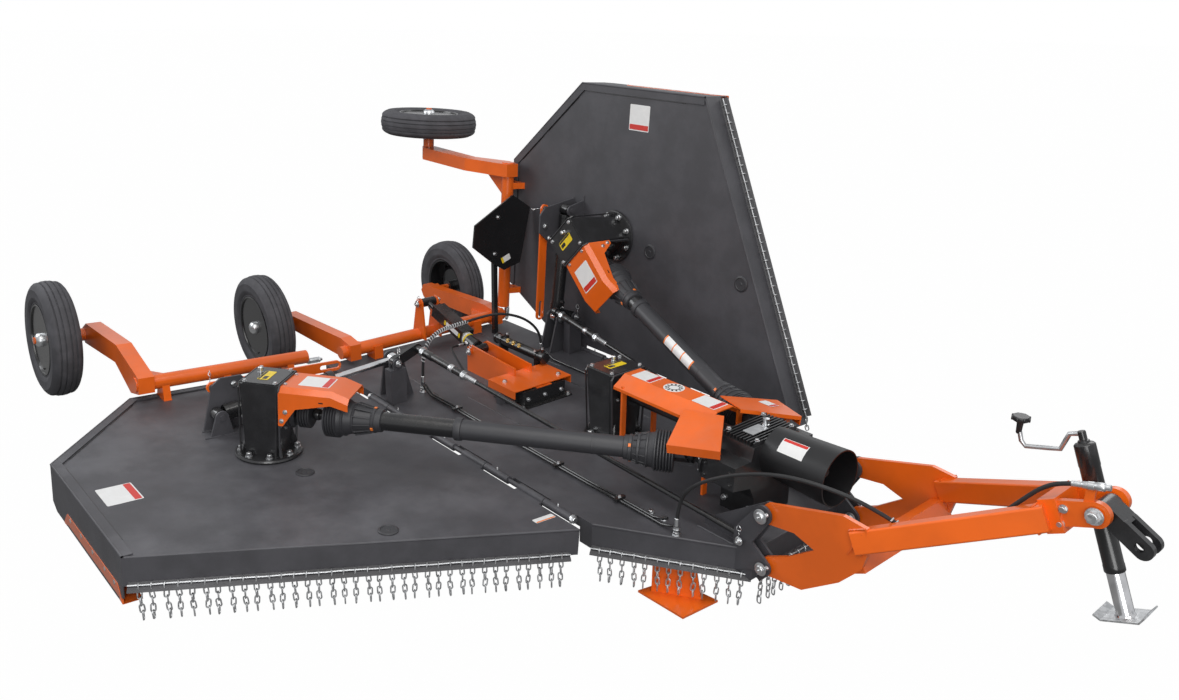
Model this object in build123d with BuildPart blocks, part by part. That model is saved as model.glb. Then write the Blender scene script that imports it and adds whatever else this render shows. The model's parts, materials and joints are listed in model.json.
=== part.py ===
from build123d import *
from math import atan2, cos, degrees, hypot, pi, radians, sin, tan
import os

os.makedirs("parts", exist_ok=True)

# Flex-wing rotary cutter, millimetres. X forward to the hitch, Y to the left, Z up.
# Zero is the front end of the input shaft, on its axis. Heights named _H are above the deck's top plane.

# Decks
DECK_Z = -301.0          # top plane of the centre deck
PLATE = 5.0              # deck and skirt steel
GUSSET = 12.0            # lugs, brackets and gussets
REAR_X = -3130.0         # rear edge of all three decks
HINGE_X = -692.0         # front end of the hinge lines
NOSE_X = -109.0          # front of the nose
NOSE_HALF = 307.0        # half width of the nose's front
HINGE_Y = 726.0          # hinge line from the centre line
EDGE_GAP = 36.0          # deck edge to the hinge line
FRONT_DROP = 123.0       # depth of a front or rear skirt
SIDE_DROP = 205.0        # depth of an outer side skirt
LEDGE = 42.0             # width of the chain ledge
RIM_STRIP = 45.0         # width of the raised strip along a wing's outer edges
RIM_RISE = 8.0           # height of that strip
WING_SPAN = 1674.0       # hinge line to the wing's outer side
WING_FRONT_X = -1500.0   # front corner of the outer side
WING_SIDE_X = -2488.0    # rear corner of the outer side
WING_CLIP_S = 1122.0     # outer end of the rear edge
WING_INNER_X = -2658.0   # rear end of the inner edge
WING_INNER_S = 268.0     # inner end of the rear edge
WING_DOWN = 4.2          # angle at which the lowered wing hangs
WING_UP = 87.0           # angle at which the raised wing stands

# Hinge rods
HINGE_R = 11.0
BARREL_R = 19.0
BARREL_L = 180.0
BARREL_GAP = 4.0         # between two barrels on one rod
FIT = 0.08               # running clearance round a pin
HINGE_XS = [-880.0, -1330.0, -1780.0, -2230.0]

# Chains
CHAIN_PITCH = 48.0
CHAIN_LEN = 155.0
CHAIN_W = 24.0           # across the widest link
CHAIN_WAIST = 11.0       # across two links' meeting
CHAIN_T = 8.0
CHAIN_ROD_R = 5.0
REAR_PITCH = 66.0

# Spindles and blades
CENTRE_BOX_X = -1286.0
WING_BOX_X = -2120.0
WING_BOX_S = 792.0
BLADE_REACH = 767.0      # centre of the spindle to a blade's tip
BLADE_DROP = 205.0       # deck top down to the blade
BLADE_W = 100.0
BLADE_T = 12.0
BLADE_PIN = 290.0        # centre of the spindle to a blade's bolt
PAN_R = 330.0
SPINDLE_R = 32.0

# Gearboxes
BOX_TOP_H = 388.0        # top face above the deck
BOX_L, BOX_W = 192.0, 240.0
BOX_TAPER = 0.84         # foot of the housing against its top
FLANGE_R = 150.0
FLANGE_T = 22.0
DRUM_R = 62.0            # cover round a gearbox's output hub
DRUM_END = 148.0         # spindle to that cover's end
STUB_END = 200.0         # spindle to the output shaft's end

# Wheels
TYRE_R = 340.0
TYRE_W = 164.0
RIM_R = 205.0
WHEEL_X = -3870.0
WHEEL_Y = 749.0
WHEEL_H = 67.0           # hub above the deck's top plane
WING_WHEEL_X = -3976.0
WING_WHEEL_S = 1276.0
WING_WHEEL_H = 134.0
STUB_R = 20.0
AXLE_R = 40.0            # cross tubes along the rear edges

# Tongue
PIN_LOW_X, PIN_LOW_Z = -30.0, -331.0
PIN_UP_X, PIN_UP_Z = -54.0, -98.0
PIN_LOW_R, PIN_UP_R = 18.0, 20.0
CHEEK_Y = 318.0
CHEEK_T = 20.0
LUG_GAP = 8.0            # cheek to the deck's lugs
CLEVIS_X, CLEVIS_Z = 1062.0, 307.0
CLEVIS_PIN_R = 16.0
RAIL_H = 92.0
RAIL_W = 60.0
RAIL_A = (350.0, 318.0, -40.0)
RAIL_B = (925.0, 112.0, 248.0)
TONGUE_TILT = 27.0

# Jack
JACK_Y = 134.0
JACK_TOP_X, JACK_TOP_Z = 907.0, 450.0
JACK_FOOT_X, JACK_FOOT_Z = 1152.0, -127.0
JACK_R = 32.0
LEG_R = 25.0

# Drive
JOINT_X, JOINT_Y, JOINT_Z = -558.0, 223.0, -56.0
WING_JOINT_X, WING_JOINT_S, WING_JOINT_H = -1942.0, 625.0, 223.0
GUARD_R = 48.0           # outer guard tube
GUARD_BORE = 44.0
SHAFT_R = GUARD_BORE - FIT           # inner guard tube, sliding in the outer one
BOOT_R = 78.0            # bell over the divider's joint
FAR_BOOT_R = 72.0        # bell over the wing's joint
TUBE_END = 1095.0
SHAFT_LEN = 1205.0
PTO_R = 17.45
PTO_LEN = 90.0
DIVIDER_X = -358.0
DIVIDER_L = 185.0
DIVIDER_TOP = 79.0       # top of the fins
FINS, FIN_H, FIN_T = 10, 20.0, 6.0
SHIELD_R = 127.0
SHIELD_REAR_R = 112.0
SHIELD_END = 66.0

# Fold cylinders and lock bars
FOLD_X = -2470.0
FOLD_WING_S, FOLD_WING_H = 900.0, 95.0
FOLD_LUG_Y, FOLD_LUG_Z = 600.0, -86.0
FOLD_PLATE = 46.0        # middle of a lug plate from the cylinder's line
BORE_R = 40.0
ROD_R = 18.0
BARREL_END = 640.0       # wing pin to the end of the barrel
FOLD_ROD_L = 600.0
WING_PIN_R = 15.0
BAR_S = (215.0, 905.0)   # inner and outer end of the lock bar
BAR_H = 222.0
BAR_W = 56.0

# Levelling rods
LEVEL_X, LEVEL_Y, LEVEL_H = -2366.0, 652.0, 241.0
LEVEL_ARM_Y, LEVEL_ARM_H = 514.0, 292.0    # upper end of the lever
LEVEL_END_X, LEVEL_END_H = -150.0, 45.0    # front pin of the rod
LEVEL_ROD_R = 12.0
LEVEL_PIN_R = 12.0
LEVER_T, LEVER_W = 30.0, 56.0

# Lift cylinder
LIFT_A = (-3040.0, 0.0, DECK_Z + 292.0)    # rear pin, on the axle's lever
LIFT_B = (-2480.0, 0.0, DECK_Z + 132.0)    # front pin, on the anchor
LIFT_R = 38.0

# Hoses: routes between their fittings
FITTING_R = 11.0
HOSE_R = 8.0
LIFT_HOSE_R = 6.0
TONGUE_HOSE = [
    (-400, -470, DECK_Z + 45), (-400, -470, DECK_Z + 150), (-310, -490, DECK_Z + 285), (-130, -472, DECK_Z + 398),
    (37, -436, DECK_Z + 458), (187, -402, DECK_Z + 474), (336, -330, DECK_Z + 443), (440, -238, DECK_Z + 368),
    (560, -182, DECK_Z + 305), (680, -146, DECK_Z + 380), (765, -108, DECK_Z + 478), (832, -94, DECK_Z + 572),
    (890, -88, DECK_Z + 645), (955, -84, DECK_Z + 683), (1005, -80, DECK_Z + 694),
]
CROSS_HOSE = [
    (-2400, -455, DECK_Z + 60), (-2400, -455, DECK_Z + 165), (-2415, -420, DECK_Z + 275), (-2450, -310, DECK_Z + 325),
    (-2485, -167, DECK_Z + 318), (-2478, 0, DECK_Z + 334), (-2445, 130, DECK_Z + 345), (-2415, 270, DECK_Z + 300),
    (-2405, 370, DECK_Z + 225), (-2404, 424, DECK_Z + 135), (-2404, 424, DECK_Z + 60),
]
LIFT_HOSE = [
    (-2560, -62, DECK_Z + 155), (-2560, -135, DECK_Z + 155), (-2495, -195, DECK_Z + 178), (-2400, -228, DECK_Z + 160),
    (-2305, -240, DECK_Z + 108), (-2200, -232, DECK_Z + 62), (-2095, -215, DECK_Z + 40), (-2000, -215, DECK_Z + 40),
]


def wing_place(side, angle):
    """Place of a wing's own frame: its hinge line, turned up by the fold angle."""
    return Location((0, side * HINGE_Y, DECK_Z), (side * angle, 0, 0))


def wing_point(side, angle, x, s, h):
    """Point at x, s out from the hinge line and h above the wing's top plane."""
    a = radians(angle)
    y = HINGE_Y + s * cos(a) - h * sin(a)
    return (x, side * y, DECK_Z + s * sin(a) + h * cos(a))


def towards(a, b):
    """Plane at a whose Z runs to b."""
    return Plane(origin=a, z_dir=tuple(q - p for p, q in zip(a, b)))


def reach(a, b):
    return hypot(*(q - p for p, q in zip(a, b)))


def along_y(x, y, z):
    """Plane at a point whose Z runs to the left."""
    return Plane((x, y, z), z_dir=(0, 1, 0))


def along_x(x, y, z):
    """Plane at a point whose Z runs forward."""
    return Plane((x, y, z), z_dir=(1, 0, 0))


def upright(y):
    """Plane at y whose sketch is drawn in X and Z, extruded both ways."""
    return Plane.XZ.offset(-y)


ON_END = (Align.CENTER, Align.CENTER, Align.MIN)
ON_FACE = (Align.CENTER, Align.CENTER, Align.MAX)


def chain_row(start, run, turn, pitch, z):
    """Ledge with its rod and hanging chains from start along turn, fused as one guard."""
    ux, uy = cos(radians(turn)), sin(radians(turn))
    middle = Location((start[0] + ux * run / 2, start[1] + uy * run / 2, z), (0, 0, turn))
    with Locations(middle):
        Box(run, LEDGE, PLATE, align=ON_END)
    with Locations(middle * Location((0, 0, -CHAIN_ROD_R))):
        Box(run - 20, 2 * CHAIN_ROD_R, 2 * CHAIN_ROD_R)
    count = int((run - 30) // pitch)
    for i in range(count):
        t = 15 + (i + 0.5) * (run - 30) / count
        with BuildSketch(Plane(origin=(start[0] + ux * t, start[1] + uy * t, z), x_dir=(ux, uy, 0),
                               z_dir=(uy, -ux, 0))) as link:
            Polygon((-CHAIN_W / 2, -CHAIN_ROD_R), (CHAIN_W / 2, -CHAIN_ROD_R), (CHAIN_WAIST / 2, -CHAIN_LEN / 2),
                    (CHAIN_W / 2, -CHAIN_LEN), (-CHAIN_W / 2, -CHAIN_LEN), (-CHAIN_WAIST / 2, -CHAIN_LEN / 2),
                    align=None)
        extrude(link.sketch, amount=CHAIN_T / 2, both=True)


def gear_housing(x, y, turn, hub_h):
    """Tapered housing on a ribbed round flange at deck level, its output hub turned in plan, its spindle below."""
    ux, uy = cos(radians(turn)), sin(radians(turn))
    base = Plane(origin=(x, y, 0), x_dir=(ux, uy, 0), z_dir=(0, 0, 1))
    with BuildSketch(base.offset(FLANGE_T - 1)) as foot:
        RectangleRounded(BOX_L * BOX_TAPER, BOX_W * BOX_TAPER, 14)
    with BuildSketch(base.offset(BOX_TOP_H)) as top:
        RectangleRounded(BOX_L, BOX_W, 14)
    loft([foot.sketch, top.sketch])
    with Locations(base):
        Cylinder(FLANGE_R, FLANGE_T, align=ON_END)
        Cylinder(50, 125, align=ON_FACE)
        Cylinder(SPINDLE_R, 190, align=ON_FACE)
    for spoke in (45, 135):
        c, d = cos(radians(turn + spoke)), sin(radians(turn + spoke))
        with BuildSketch(Plane(origin=(x, y, 0), x_dir=(c, d, 0), z_dir=(d, -c, 0))) as rib:
            Polygon((8 - FLANGE_R, FLANGE_T - 1), (FLANGE_R - 8, FLANGE_T - 1), (98, BOX_TOP_H * 0.42),
                    (-98, BOX_TOP_H * 0.42), align=None)
        extrude(rib.sketch, amount=7, both=True)
    with Locations(Plane(origin=(x, y, hub_h), z_dir=(ux, uy, 0))):
        Cylinder(DRUM_R, DRUM_END, align=ON_END)


def sheet(points, thick):
    """Outline of a sheet bent along points, its thickness to their left."""
    other = []
    for i, (x, y) in enumerate(points):
        ways = []
        for a, b in ((i - 1, i), (i, i + 1)):
            if a >= 0 and b < len(points):
                dx, dy = points[b][0] - points[a][0], points[b][1] - points[a][1]
                ways.append((-dy / hypot(dx, dy), dx / hypot(dx, dy)))
        m, n = ways[0], ways[-1]
        k = thick / (1 + m[0] * n[0] + m[1] * n[1])
        other.append((x + (m[0] + n[0]) * k, y + (m[1] + n[1]) * k))
    return list(points) + other[::-1]


# Centre deck
CENTRE_EDGE = [
    (REAR_X, HINGE_Y - EDGE_GAP), (HINGE_X, HINGE_Y - EDGE_GAP), (NOSE_X, NOSE_HALF),
    (NOSE_X, -NOSE_HALF), (HINGE_X, -HINGE_Y + EDGE_GAP), (REAR_X, -HINGE_Y + EDGE_GAP),
]
LUGS = [
    # y, rear end of the foot, height of that end
    (CHEEK_Y - CHEEK_T / 2 - LUG_GAP - GUSSET / 2, NOSE_X - 280, 26),
    (CHEEK_Y + CHEEK_T / 2 + LUG_GAP + GUSSET / 2, NOSE_X - 80, 90),
]
with BuildPart() as centre_deck:
    with BuildSketch(Plane.XY.offset(DECK_Z - FRONT_DROP)):
        Polygon(*CENTRE_EDGE, align=None)
    extrude(amount=FRONT_DROP)
    with BuildSketch(Plane.XY.offset(DECK_Z - FRONT_DROP)):
        Polygon(*CENTRE_EDGE, align=None)
        offset(amount=-PLATE, mode=Mode.REPLACE)
    extrude(amount=FRONT_DROP - PLATE, mode=Mode.SUBTRACT)
    for side in (1, -1):
        with Locations(((HINGE_X + REAR_X) / 2, side * (HINGE_Y - EDGE_GAP), DECK_Z - FRONT_DROP / 2 - 48)):
            Box(HINGE_X - REAR_X - 160, 40, FRONT_DROP, mode=Mode.SUBTRACT)
        for x in HINGE_XS:
            with Locations(along_x(x, side * HINGE_Y, DECK_Z)):
                Cylinder(BARREL_R, BARREL_L)
            with Locations((x, side * (HINGE_Y - EDGE_GAP), DECK_Z - 8)):
                Box(BARREL_L, EDGE_GAP + 16, 16)
        with Locations(along_x(HINGE_XS[-1] - BARREL_L * 1.6, side * HINGE_Y, DECK_Z)):
            Cylinder(HINGE_R, HINGE_XS[0] - HINGE_XS[-1] + BARREL_L * 2.2, align=ON_END)
        # Tongue lugs: two plates each side of a cheek, with the pins through them
        for y, rear, step in LUGS:
            with BuildSketch(upright(side * y)):
                Polygon((PIN_LOW_X + 4, PIN_LOW_Z - 34), (PIN_LOW_X - 60, PIN_LOW_Z - 34),
                        (NOSE_X - 60, DECK_Z - FRONT_DROP + 20), (rear, DECK_Z - 1), (rear, DECK_Z + step),
                        (PIN_UP_X - 28, PIN_UP_Z + 30), (PIN_UP_X + 26, PIN_UP_Z - 30), (NOSE_X + 16, DECK_Z + 60),
                        (PIN_LOW_X + 26, PIN_LOW_Z + 26), align=None)
                with Locations((PIN_UP_X, PIN_UP_Z)):
                    Circle(42)
                with Locations((PIN_LOW_X, PIN_LOW_Z)):
                    Circle(36)
            extrude(amount=GUSSET / 2, both=True)
        for x, z, r in ((PIN_LOW_X, PIN_LOW_Z, PIN_LOW_R), (PIN_UP_X, PIN_UP_Z, PIN_UP_R),
                        (LEVEL_END_X, DECK_Z + LEVEL_END_H, LEVEL_PIN_R)):
            with Locations(along_y(x, side * CHEEK_Y, z)):
                Cylinder(r, CHEEK_T + 2 * (LUG_GAP + GUSSET) + 24)
        with Locations((NOSE_X - 15, side * CHEEK_Y, DECK_Z - FRONT_DROP / 2)):
            Box(80, CHEEK_T + 2 * LUG_GAP + GUSSET, FRONT_DROP - 10)
        # Fold lugs, and the stand that holds the rear end of the levelling rod
        for x in (FOLD_X - FOLD_PLATE, FOLD_X + FOLD_PLATE):
            with BuildSketch(Plane(origin=(x, 0, 0), x_dir=(0, 1, 0), z_dir=(1, 0, 0))):
                Polygon((side * (FOLD_LUG_Y - 90), DECK_Z), (side * (FOLD_LUG_Y + 70), DECK_Z),
                        (side * (FOLD_LUG_Y + 34), FOLD_LUG_Z), (side * (FOLD_LUG_Y - 34), FOLD_LUG_Z), align=None)
                with Locations((side * FOLD_LUG_Y, FOLD_LUG_Z)):
                    Circle(36)
            extrude(amount=GUSSET / 2, both=True)
        with Locations((LEVEL_X, side * LEVEL_Y, DECK_Z)):
            Box(60, 100, LEVEL_H - 36, align=ON_END)
        for x in (LEVEL_X - LEVER_T / 2 - 6.2, LEVEL_X + LEVER_T / 2 + 6.2):
            with BuildSketch(Plane(origin=(x, 0, 0), x_dir=(0, 1, 0), z_dir=(1, 0, 0))):
                with Locations((side * LEVEL_Y, DECK_Z + LEVEL_H)):
                    Circle(26)
                with Locations((side * LEVEL_Y, DECK_Z + LEVEL_H - 24)):
                    Rectangle(52, 48)
            extrude(amount=GUSSET / 2, both=True)
        with Locations(along_x(LEVEL_X, side * LEVEL_Y, DECK_Z + LEVEL_H)):
            Cylinder(LEVEL_PIN_R, LEVER_T + 2 * GUSSET + 16)
    with Locations((CENTRE_BOX_X, 0, DECK_Z)):
        Cylinder(70, 40, mode=Mode.SUBTRACT)
    for end in (TONGUE_HOSE[0], CROSS_HOSE[0], CROSS_HOSE[-1]):
        with Locations(Location(end)):
            Cylinder(FITTING_R, end[2] - DECK_Z, align=ON_FACE)
    with Locations((LIFT_HOSE[-1][0] + 20, LIFT_HOSE[-1][1], DECK_Z)):
        Box(40, 30, LIFT_HOSE[-1][2] + 15 - DECK_Z, align=ON_END)
centre_deck.part.label = "centre_deck"
export_step(centre_deck.part, "parts/centre_deck.step")

# Chain guards round the centre deck
GUARD_Z = DECK_Z - FRONT_DROP
nose_run = hypot(HINGE_X - NOSE_X, HINGE_Y - EDGE_GAP - NOSE_HALF)
nose_turn = degrees(atan2(HINGE_Y - EDGE_GAP - NOSE_HALF, NOSE_X - HINGE_X))
out_x, out_y = sin(radians(nose_turn)) * LEDGE / 2, cos(radians(nose_turn)) * LEDGE / 2
GUARD_ROWS = [
    # start (x, y), run, turn, pitch
    ((HINGE_X + out_x, -HINGE_Y + EDGE_GAP - out_y), nose_run, nose_turn, CHAIN_PITCH),
    ((NOSE_X + out_x, NOSE_HALF + out_y), nose_run, 180 - nose_turn, CHAIN_PITCH),
    ((NOSE_X + LEDGE / 2, -NOSE_HALF), 2 * NOSE_HALF, 90, CHAIN_PITCH),
    ((REAR_X - LEDGE / 2, HINGE_Y - 2 * EDGE_GAP), 2 * (HINGE_Y - 2 * EDGE_GAP), -90, REAR_PITCH),
]
with BuildPart() as centre_chains:
    for start, run, turn, pitch in GUARD_ROWS:
        chain_row(start, run, turn, pitch, GUARD_Z)
centre_chains.part.label = "centre_chains"
export_step(centre_chains.part, "parts/centre_chains.step")

# Skid shoes under the centre deck's front edges: a bent plate on a gusset
SHOE_H = 296.0
SHOE_Y = 480.0
for name, side in (("right", -1), ("left", 1)):
    with BuildPart() as centre_shoe:
        with BuildSketch(Plane.XY.offset(DECK_Z - SHOE_H)):
            Polygon((-506, side * 579), (-247, side * 570), (-233, side * 364), (-470, side * 400), align=None)
        extrude(amount=10)
        ux, uy = cos(radians(nose_turn)), sin(radians(nose_turn))
        inset = PLATE + GUSSET / 2
        edge_x = HINGE_X + (HINGE_Y - EDGE_GAP - SHOE_Y) * ux / uy
        with BuildSketch(Plane(origin=(edge_x - inset * uy, side * (SHOE_Y - inset * ux), 0),
                               x_dir=(ux, -side * uy, 0), z_dir=(-side * uy, -ux, 0))):
            Polygon((-110, DECK_Z - SHOE_H + 5), (110, DECK_Z - SHOE_H + 5), (70, GUARD_Z + 40), (-110, GUARD_Z + 40),
                    align=None)
        extrude(amount=GUSSET / 2, both=True)
    centre_shoe.part.label = "centre_shoe_" + name
    export_step(centre_shoe.part, "parts/centre_shoe_" + name + ".step")

# Centre axle: cross tube on the rear edge, arms back to the wheels, upright lever for the lift cylinder
AXLE_X = REAR_X + 60
ARM_Y = 545.0
with BuildPart() as centre_axle:
    with Locations(along_y(AXLE_X, 0, DECK_Z + 78)):
        Cylinder(AXLE_R, 1240)
    for y in (-380, 380):
        with Locations((AXLE_X, y, DECK_Z)):
            Box(100, 60, 84, align=ON_END)
    for side in (1, -1):
        with BuildSketch(upright(side * ARM_Y)):
            Polygon((AXLE_X + 60, DECK_Z + 30), (AXLE_X + 60, DECK_Z + 130), (AXLE_X - 60, DECK_Z + 150),
                    (WHEEL_X - 20, DECK_Z + WHEEL_H + 48), (WHEEL_X - 50, DECK_Z + WHEEL_H),
                    (WHEEL_X - 20, DECK_Z + WHEEL_H - 48), (REAR_X - 60, DECK_Z + 26), align=None)
        extrude(amount=36, both=True)
        with BuildSketch(Plane.XY.offset(DECK_Z + 78)):
            Polygon((AXLE_X, side * (ARM_Y - 30)), (AXLE_X, side * (ARM_Y - 180)), (REAR_X - 160, side * (ARM_Y - 30)), align=None)
        extrude(amount=GUSSET / 2, both=True)
        with Locations(along_y(WHEEL_X, side * (WHEEL_Y - 70), DECK_Z + WHEEL_H)):
            Cylinder(STUB_R, 250)
        with Locations(along_y(WHEEL_X, side * (ARM_Y + 55), DECK_Z + WHEEL_H)):
            Cylinder(38, 50)
    for y in (-58, 58):
        with BuildSketch(upright(y)):
            Polygon((AXLE_X - 60, DECK_Z + 60), (AXLE_X + 90, DECK_Z + 60), (LIFT_A[0] + 34, LIFT_A[2]),
                    (LIFT_A[0] - 34, LIFT_A[2]), align=None)
            with Locations((LIFT_A[0], LIFT_A[2])):
                Circle(34)
        extrude(amount=GUSSET / 2, both=True)
    with Locations(along_y(*LIFT_A)):
        Cylinder(14, 150)
centre_axle.part.label = "centre_axle"
export_step(centre_axle.part, "parts/centre_axle.step")

# Lift cylinder, its front anchor and the transport lock over it
with BuildPart() as lift_anchor:
    for y in (-58, 58):
        with BuildSketch(upright(y)):
            Polygon((LIFT_B[0] - 34, DECK_Z), (-2050, DECK_Z), (-2050, DECK_Z + 150), (LIFT_B[0], LIFT_B[2] + 40),
                    (LIFT_B[0] - 34, LIFT_B[2] + 20), align=None)
        extrude(amount=GUSSET / 2, both=True)
    with Locations(along_y(*LIFT_B)):
        Cylinder(14, 150)
    with BuildSketch(Plane(origin=(-2110, 0, 0), x_dir=(0, 1, 0), z_dir=(1, 0, 0))):
        Polygon(*sheet([(-200, DECK_Z + 60), (-200, DECK_Z + 100), (200, DECK_Z + 100), (200, DECK_Z + 60)], PLATE),
                align=None)
    extrude(amount=245)
    with Locations((-1955, 0, DECK_Z)):
        Box(200, 104, 96, align=ON_END)
lift_anchor.part.label = "lift_anchor"
export_step(lift_anchor.part, "parts/lift_anchor.step")
LIFT_LEN = reach(LIFT_A, LIFT_B)
lift_line = Plane(origin=LIFT_A, x_dir=(0, 1, 0), z_dir=tuple(q - p for p, q in zip(LIFT_A, LIFT_B)))
with BuildPart() as lift_cylinder:
    with Locations(lift_line * Location((0, 0, LIFT_LEN - 400))):
        Cylinder(LIFT_R, 380, align=ON_END)
    with Locations(lift_line):
        Cylinder(16, LIFT_LEN, align=ON_END)
    for end in (LIFT_A, LIFT_B):
        with Locations(along_y(*end)):
            Cylinder(28, 103.6)
            Cylinder(14 + FIT, 110, mode=Mode.SUBTRACT)
    with Locations(along_y(*LIFT_HOSE[0])):
        Cylinder(FITTING_R, 40, align=ON_END)
lift_cylinder.part.label = "lift_cylinder"
export_step(lift_cylinder.part, "parts/lift_cylinder.step")
with BuildPart() as lift_lock:
    with BuildSketch(lift_line.offset(120)):
        half, top = LIFT_R + 0.5, LIFT_R + 8
        Polygon(*sheet([(half, -24), (half, top), (-half, top), (-half, -24)], -PLATE), align=None)
    extrude(amount=LIFT_LEN - 250)
lift_lock.part.label = "lift_lock"
export_step(lift_lock.part, "parts/lift_lock.step")

# Oil divider beside the lift cylinder: a round body on two saddles
with BuildPart() as oil_divider:
    with Locations(along_x(-2530, 180, DECK_Z + 150)):
        Cylinder(30, 460, align=ON_END)
    for x in (-2470, -2130):
        with Locations((x, 180, DECK_Z)):
            Box(16, 60, 140, align=ON_END)
        with Locations((x + 40, 180, DECK_Z + 176)):
            Cylinder(10, 40)
oil_divider.part.label = "oil_divider"
export_step(oil_divider.part, "parts/oil_divider.step")

# Levelling rods: lever on the rear stand, rod forward to the tongue's lugs
for name, side in (("right", -1), ("left", 1)):
    low = (LEVEL_X, side * LEVEL_Y, DECK_Z + LEVEL_H)
    high = (LEVEL_X, side * LEVEL_ARM_Y, DECK_Z + LEVEL_ARM_H)
    front = (LEVEL_END_X, side * CHEEK_Y, DECK_Z + LEVEL_END_H)
    with BuildPart() as levelling_rod:
        with BuildSketch(Plane(origin=(LEVEL_X, 0, 0), x_dir=(0, 1, 0), z_dir=(1, 0, 0))):
            with Locations(((low[1] + high[1]) / 2, (low[2] + high[2]) / 2)):
                SlotCenterToCenter(reach(low, high), LEVER_W,
                                   rotation=degrees(atan2(high[2] - low[2], high[1] - low[1])))
            with Locations((low[1], low[2])):
                Circle(LEVEL_PIN_R + FIT, mode=Mode.SUBTRACT)
        extrude(amount=LEVER_T / 2, both=True)
        with Locations(towards(high, front)):
            Cylinder(LEVEL_ROD_R, reach(high, front), align=ON_END)
            Cylinder(LEVEL_ROD_R + 8, 420, align=ON_END)
        with Locations(along_y(*front)):
            Cylinder(24, CHEEK_T + 2 * LUG_GAP - 2)
            Cylinder(LEVEL_PIN_R + FIT, 60, mode=Mode.SUBTRACT)
    levelling_rod.part.label = "levelling_rod_" + name
    export_step(levelling_rod.part, "parts/levelling_rod_" + name + ".step")

# Tongue: profiled cheeks, tapering rails, cross tube and hitch plates
CHEEK = [
    (-93, -98), (-50, -48), (297, 50), (400, 40), (412, -78), (398, -134), (312, -232), (150, -350),
    (-25, -369), (-66, -331), (-40, -292), (67, -240), (190, -150), (90, -120), (-60, -140),
]
HOSE_REST = TONGUE_HOSE[-1]
with BuildPart() as tongue:
    for side in (1, -1):
        with BuildSketch(upright(side * CHEEK_Y)):
            Polygon(*CHEEK, align=None)
            with Locations((PIN_LOW_X, PIN_LOW_Z)):
                Circle(PIN_LOW_R + FIT, mode=Mode.SUBTRACT)
            with Locations((PIN_UP_X, PIN_UP_Z)):
                Circle(PIN_UP_R + FIT, mode=Mode.SUBTRACT)
        extrude(amount=CHEEK_T / 2, both=True)
        a = (RAIL_A[0], side * RAIL_A[1], RAIL_A[2])
        b = (RAIL_B[0], side * RAIL_B[1], RAIL_B[2])
        with BuildSketch(Plane(origin=a, x_dir=(0, 1, 0), z_dir=tuple(q - p for p, q in zip(a, b)))):
            RectangleRounded(RAIL_W, RAIL_H, 8)
        extrude(amount=reach(a, b))
    with Locations(Location((360, 0, -122), (0, -TONGUE_TILT, 0))):
        Box(70, 2 * CHEEK_Y, 90)
    with Locations(Location((932, 0, 250), (0, -TONGUE_TILT, 0))):
        Box(60, 200, 120)
    for y in (-75, 75):
        with BuildSketch(upright(y)):
            with Locations((CLEVIS_X, CLEVIS_Z)):
                Circle(45)
            Polygon((925, 208), (925, 305), (CLEVIS_X - 20, CLEVIS_Z + 40), (CLEVIS_X + 30, CLEVIS_Z - 34), align=None)
        extrude(amount=12.5, both=True)
    with Locations(along_y(CLEVIS_X, 0, CLEVIS_Z)):
        Cylinder(CLEVIS_PIN_R, 190)
    with Locations((965, JACK_Y - JACK_R - 6, CLEVIS_Z - 50)):
        Box(70, 12, 90)
    with Locations((HOSE_REST[0] + 26, HOSE_REST[1] + 3, CLEVIS_Z)):
        Box(30, 12, HOSE_REST[2] - CLEVIS_Z - 4, align=ON_END)
    with Locations(towards(TONGUE_HOSE[-2], HOSE_REST) * Location((0, 0, reach(TONGUE_HOSE[-2], HOSE_REST)))):
        Cylinder(FITTING_R, 46, align=ON_END)
tongue.part.label = "tongue"
export_step(tongue.part, "parts/tongue.step")

# Hitch clevis, hanging from its pin
DROOP = 30.0
DRAW_X, DRAW_Z = CLEVIS_X + 130, CLEVIS_Z - 75
DRAW_R = 16.5
with BuildPart() as hitch_clevis:
    with BuildSketch(upright(-45)):
        with Locations((CLEVIS_X, CLEVIS_Z)):
            Circle(34)
        with Locations(Location((CLEVIS_X + 35, CLEVIS_Z - 20, 0), (0, 0, -DROOP))):
            Rectangle(80, 60)
    extrude(amount=-90)
    for y in (-32, 32):
        with BuildSketch(upright(y)):
            with Locations(Location((CLEVIS_X + 104, CLEVIS_Z - 60, 0), (0, 0, -DROOP))):
                SlotCenterToCenter(90, 64)
        extrude(amount=12, both=True)
    with Locations(along_y(CLEVIS_X, 0, CLEVIS_Z)):
        Cylinder(CLEVIS_PIN_R + FIT, 100, mode=Mode.SUBTRACT)
    with Locations(along_y(DRAW_X, 0, DRAW_Z)):
        Cylinder(DRAW_R, 120, mode=Mode.SUBTRACT)
hitch_clevis.part.label = "hitch_clevis"
export_step(hitch_clevis.part, "parts/hitch_clevis.step")

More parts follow.
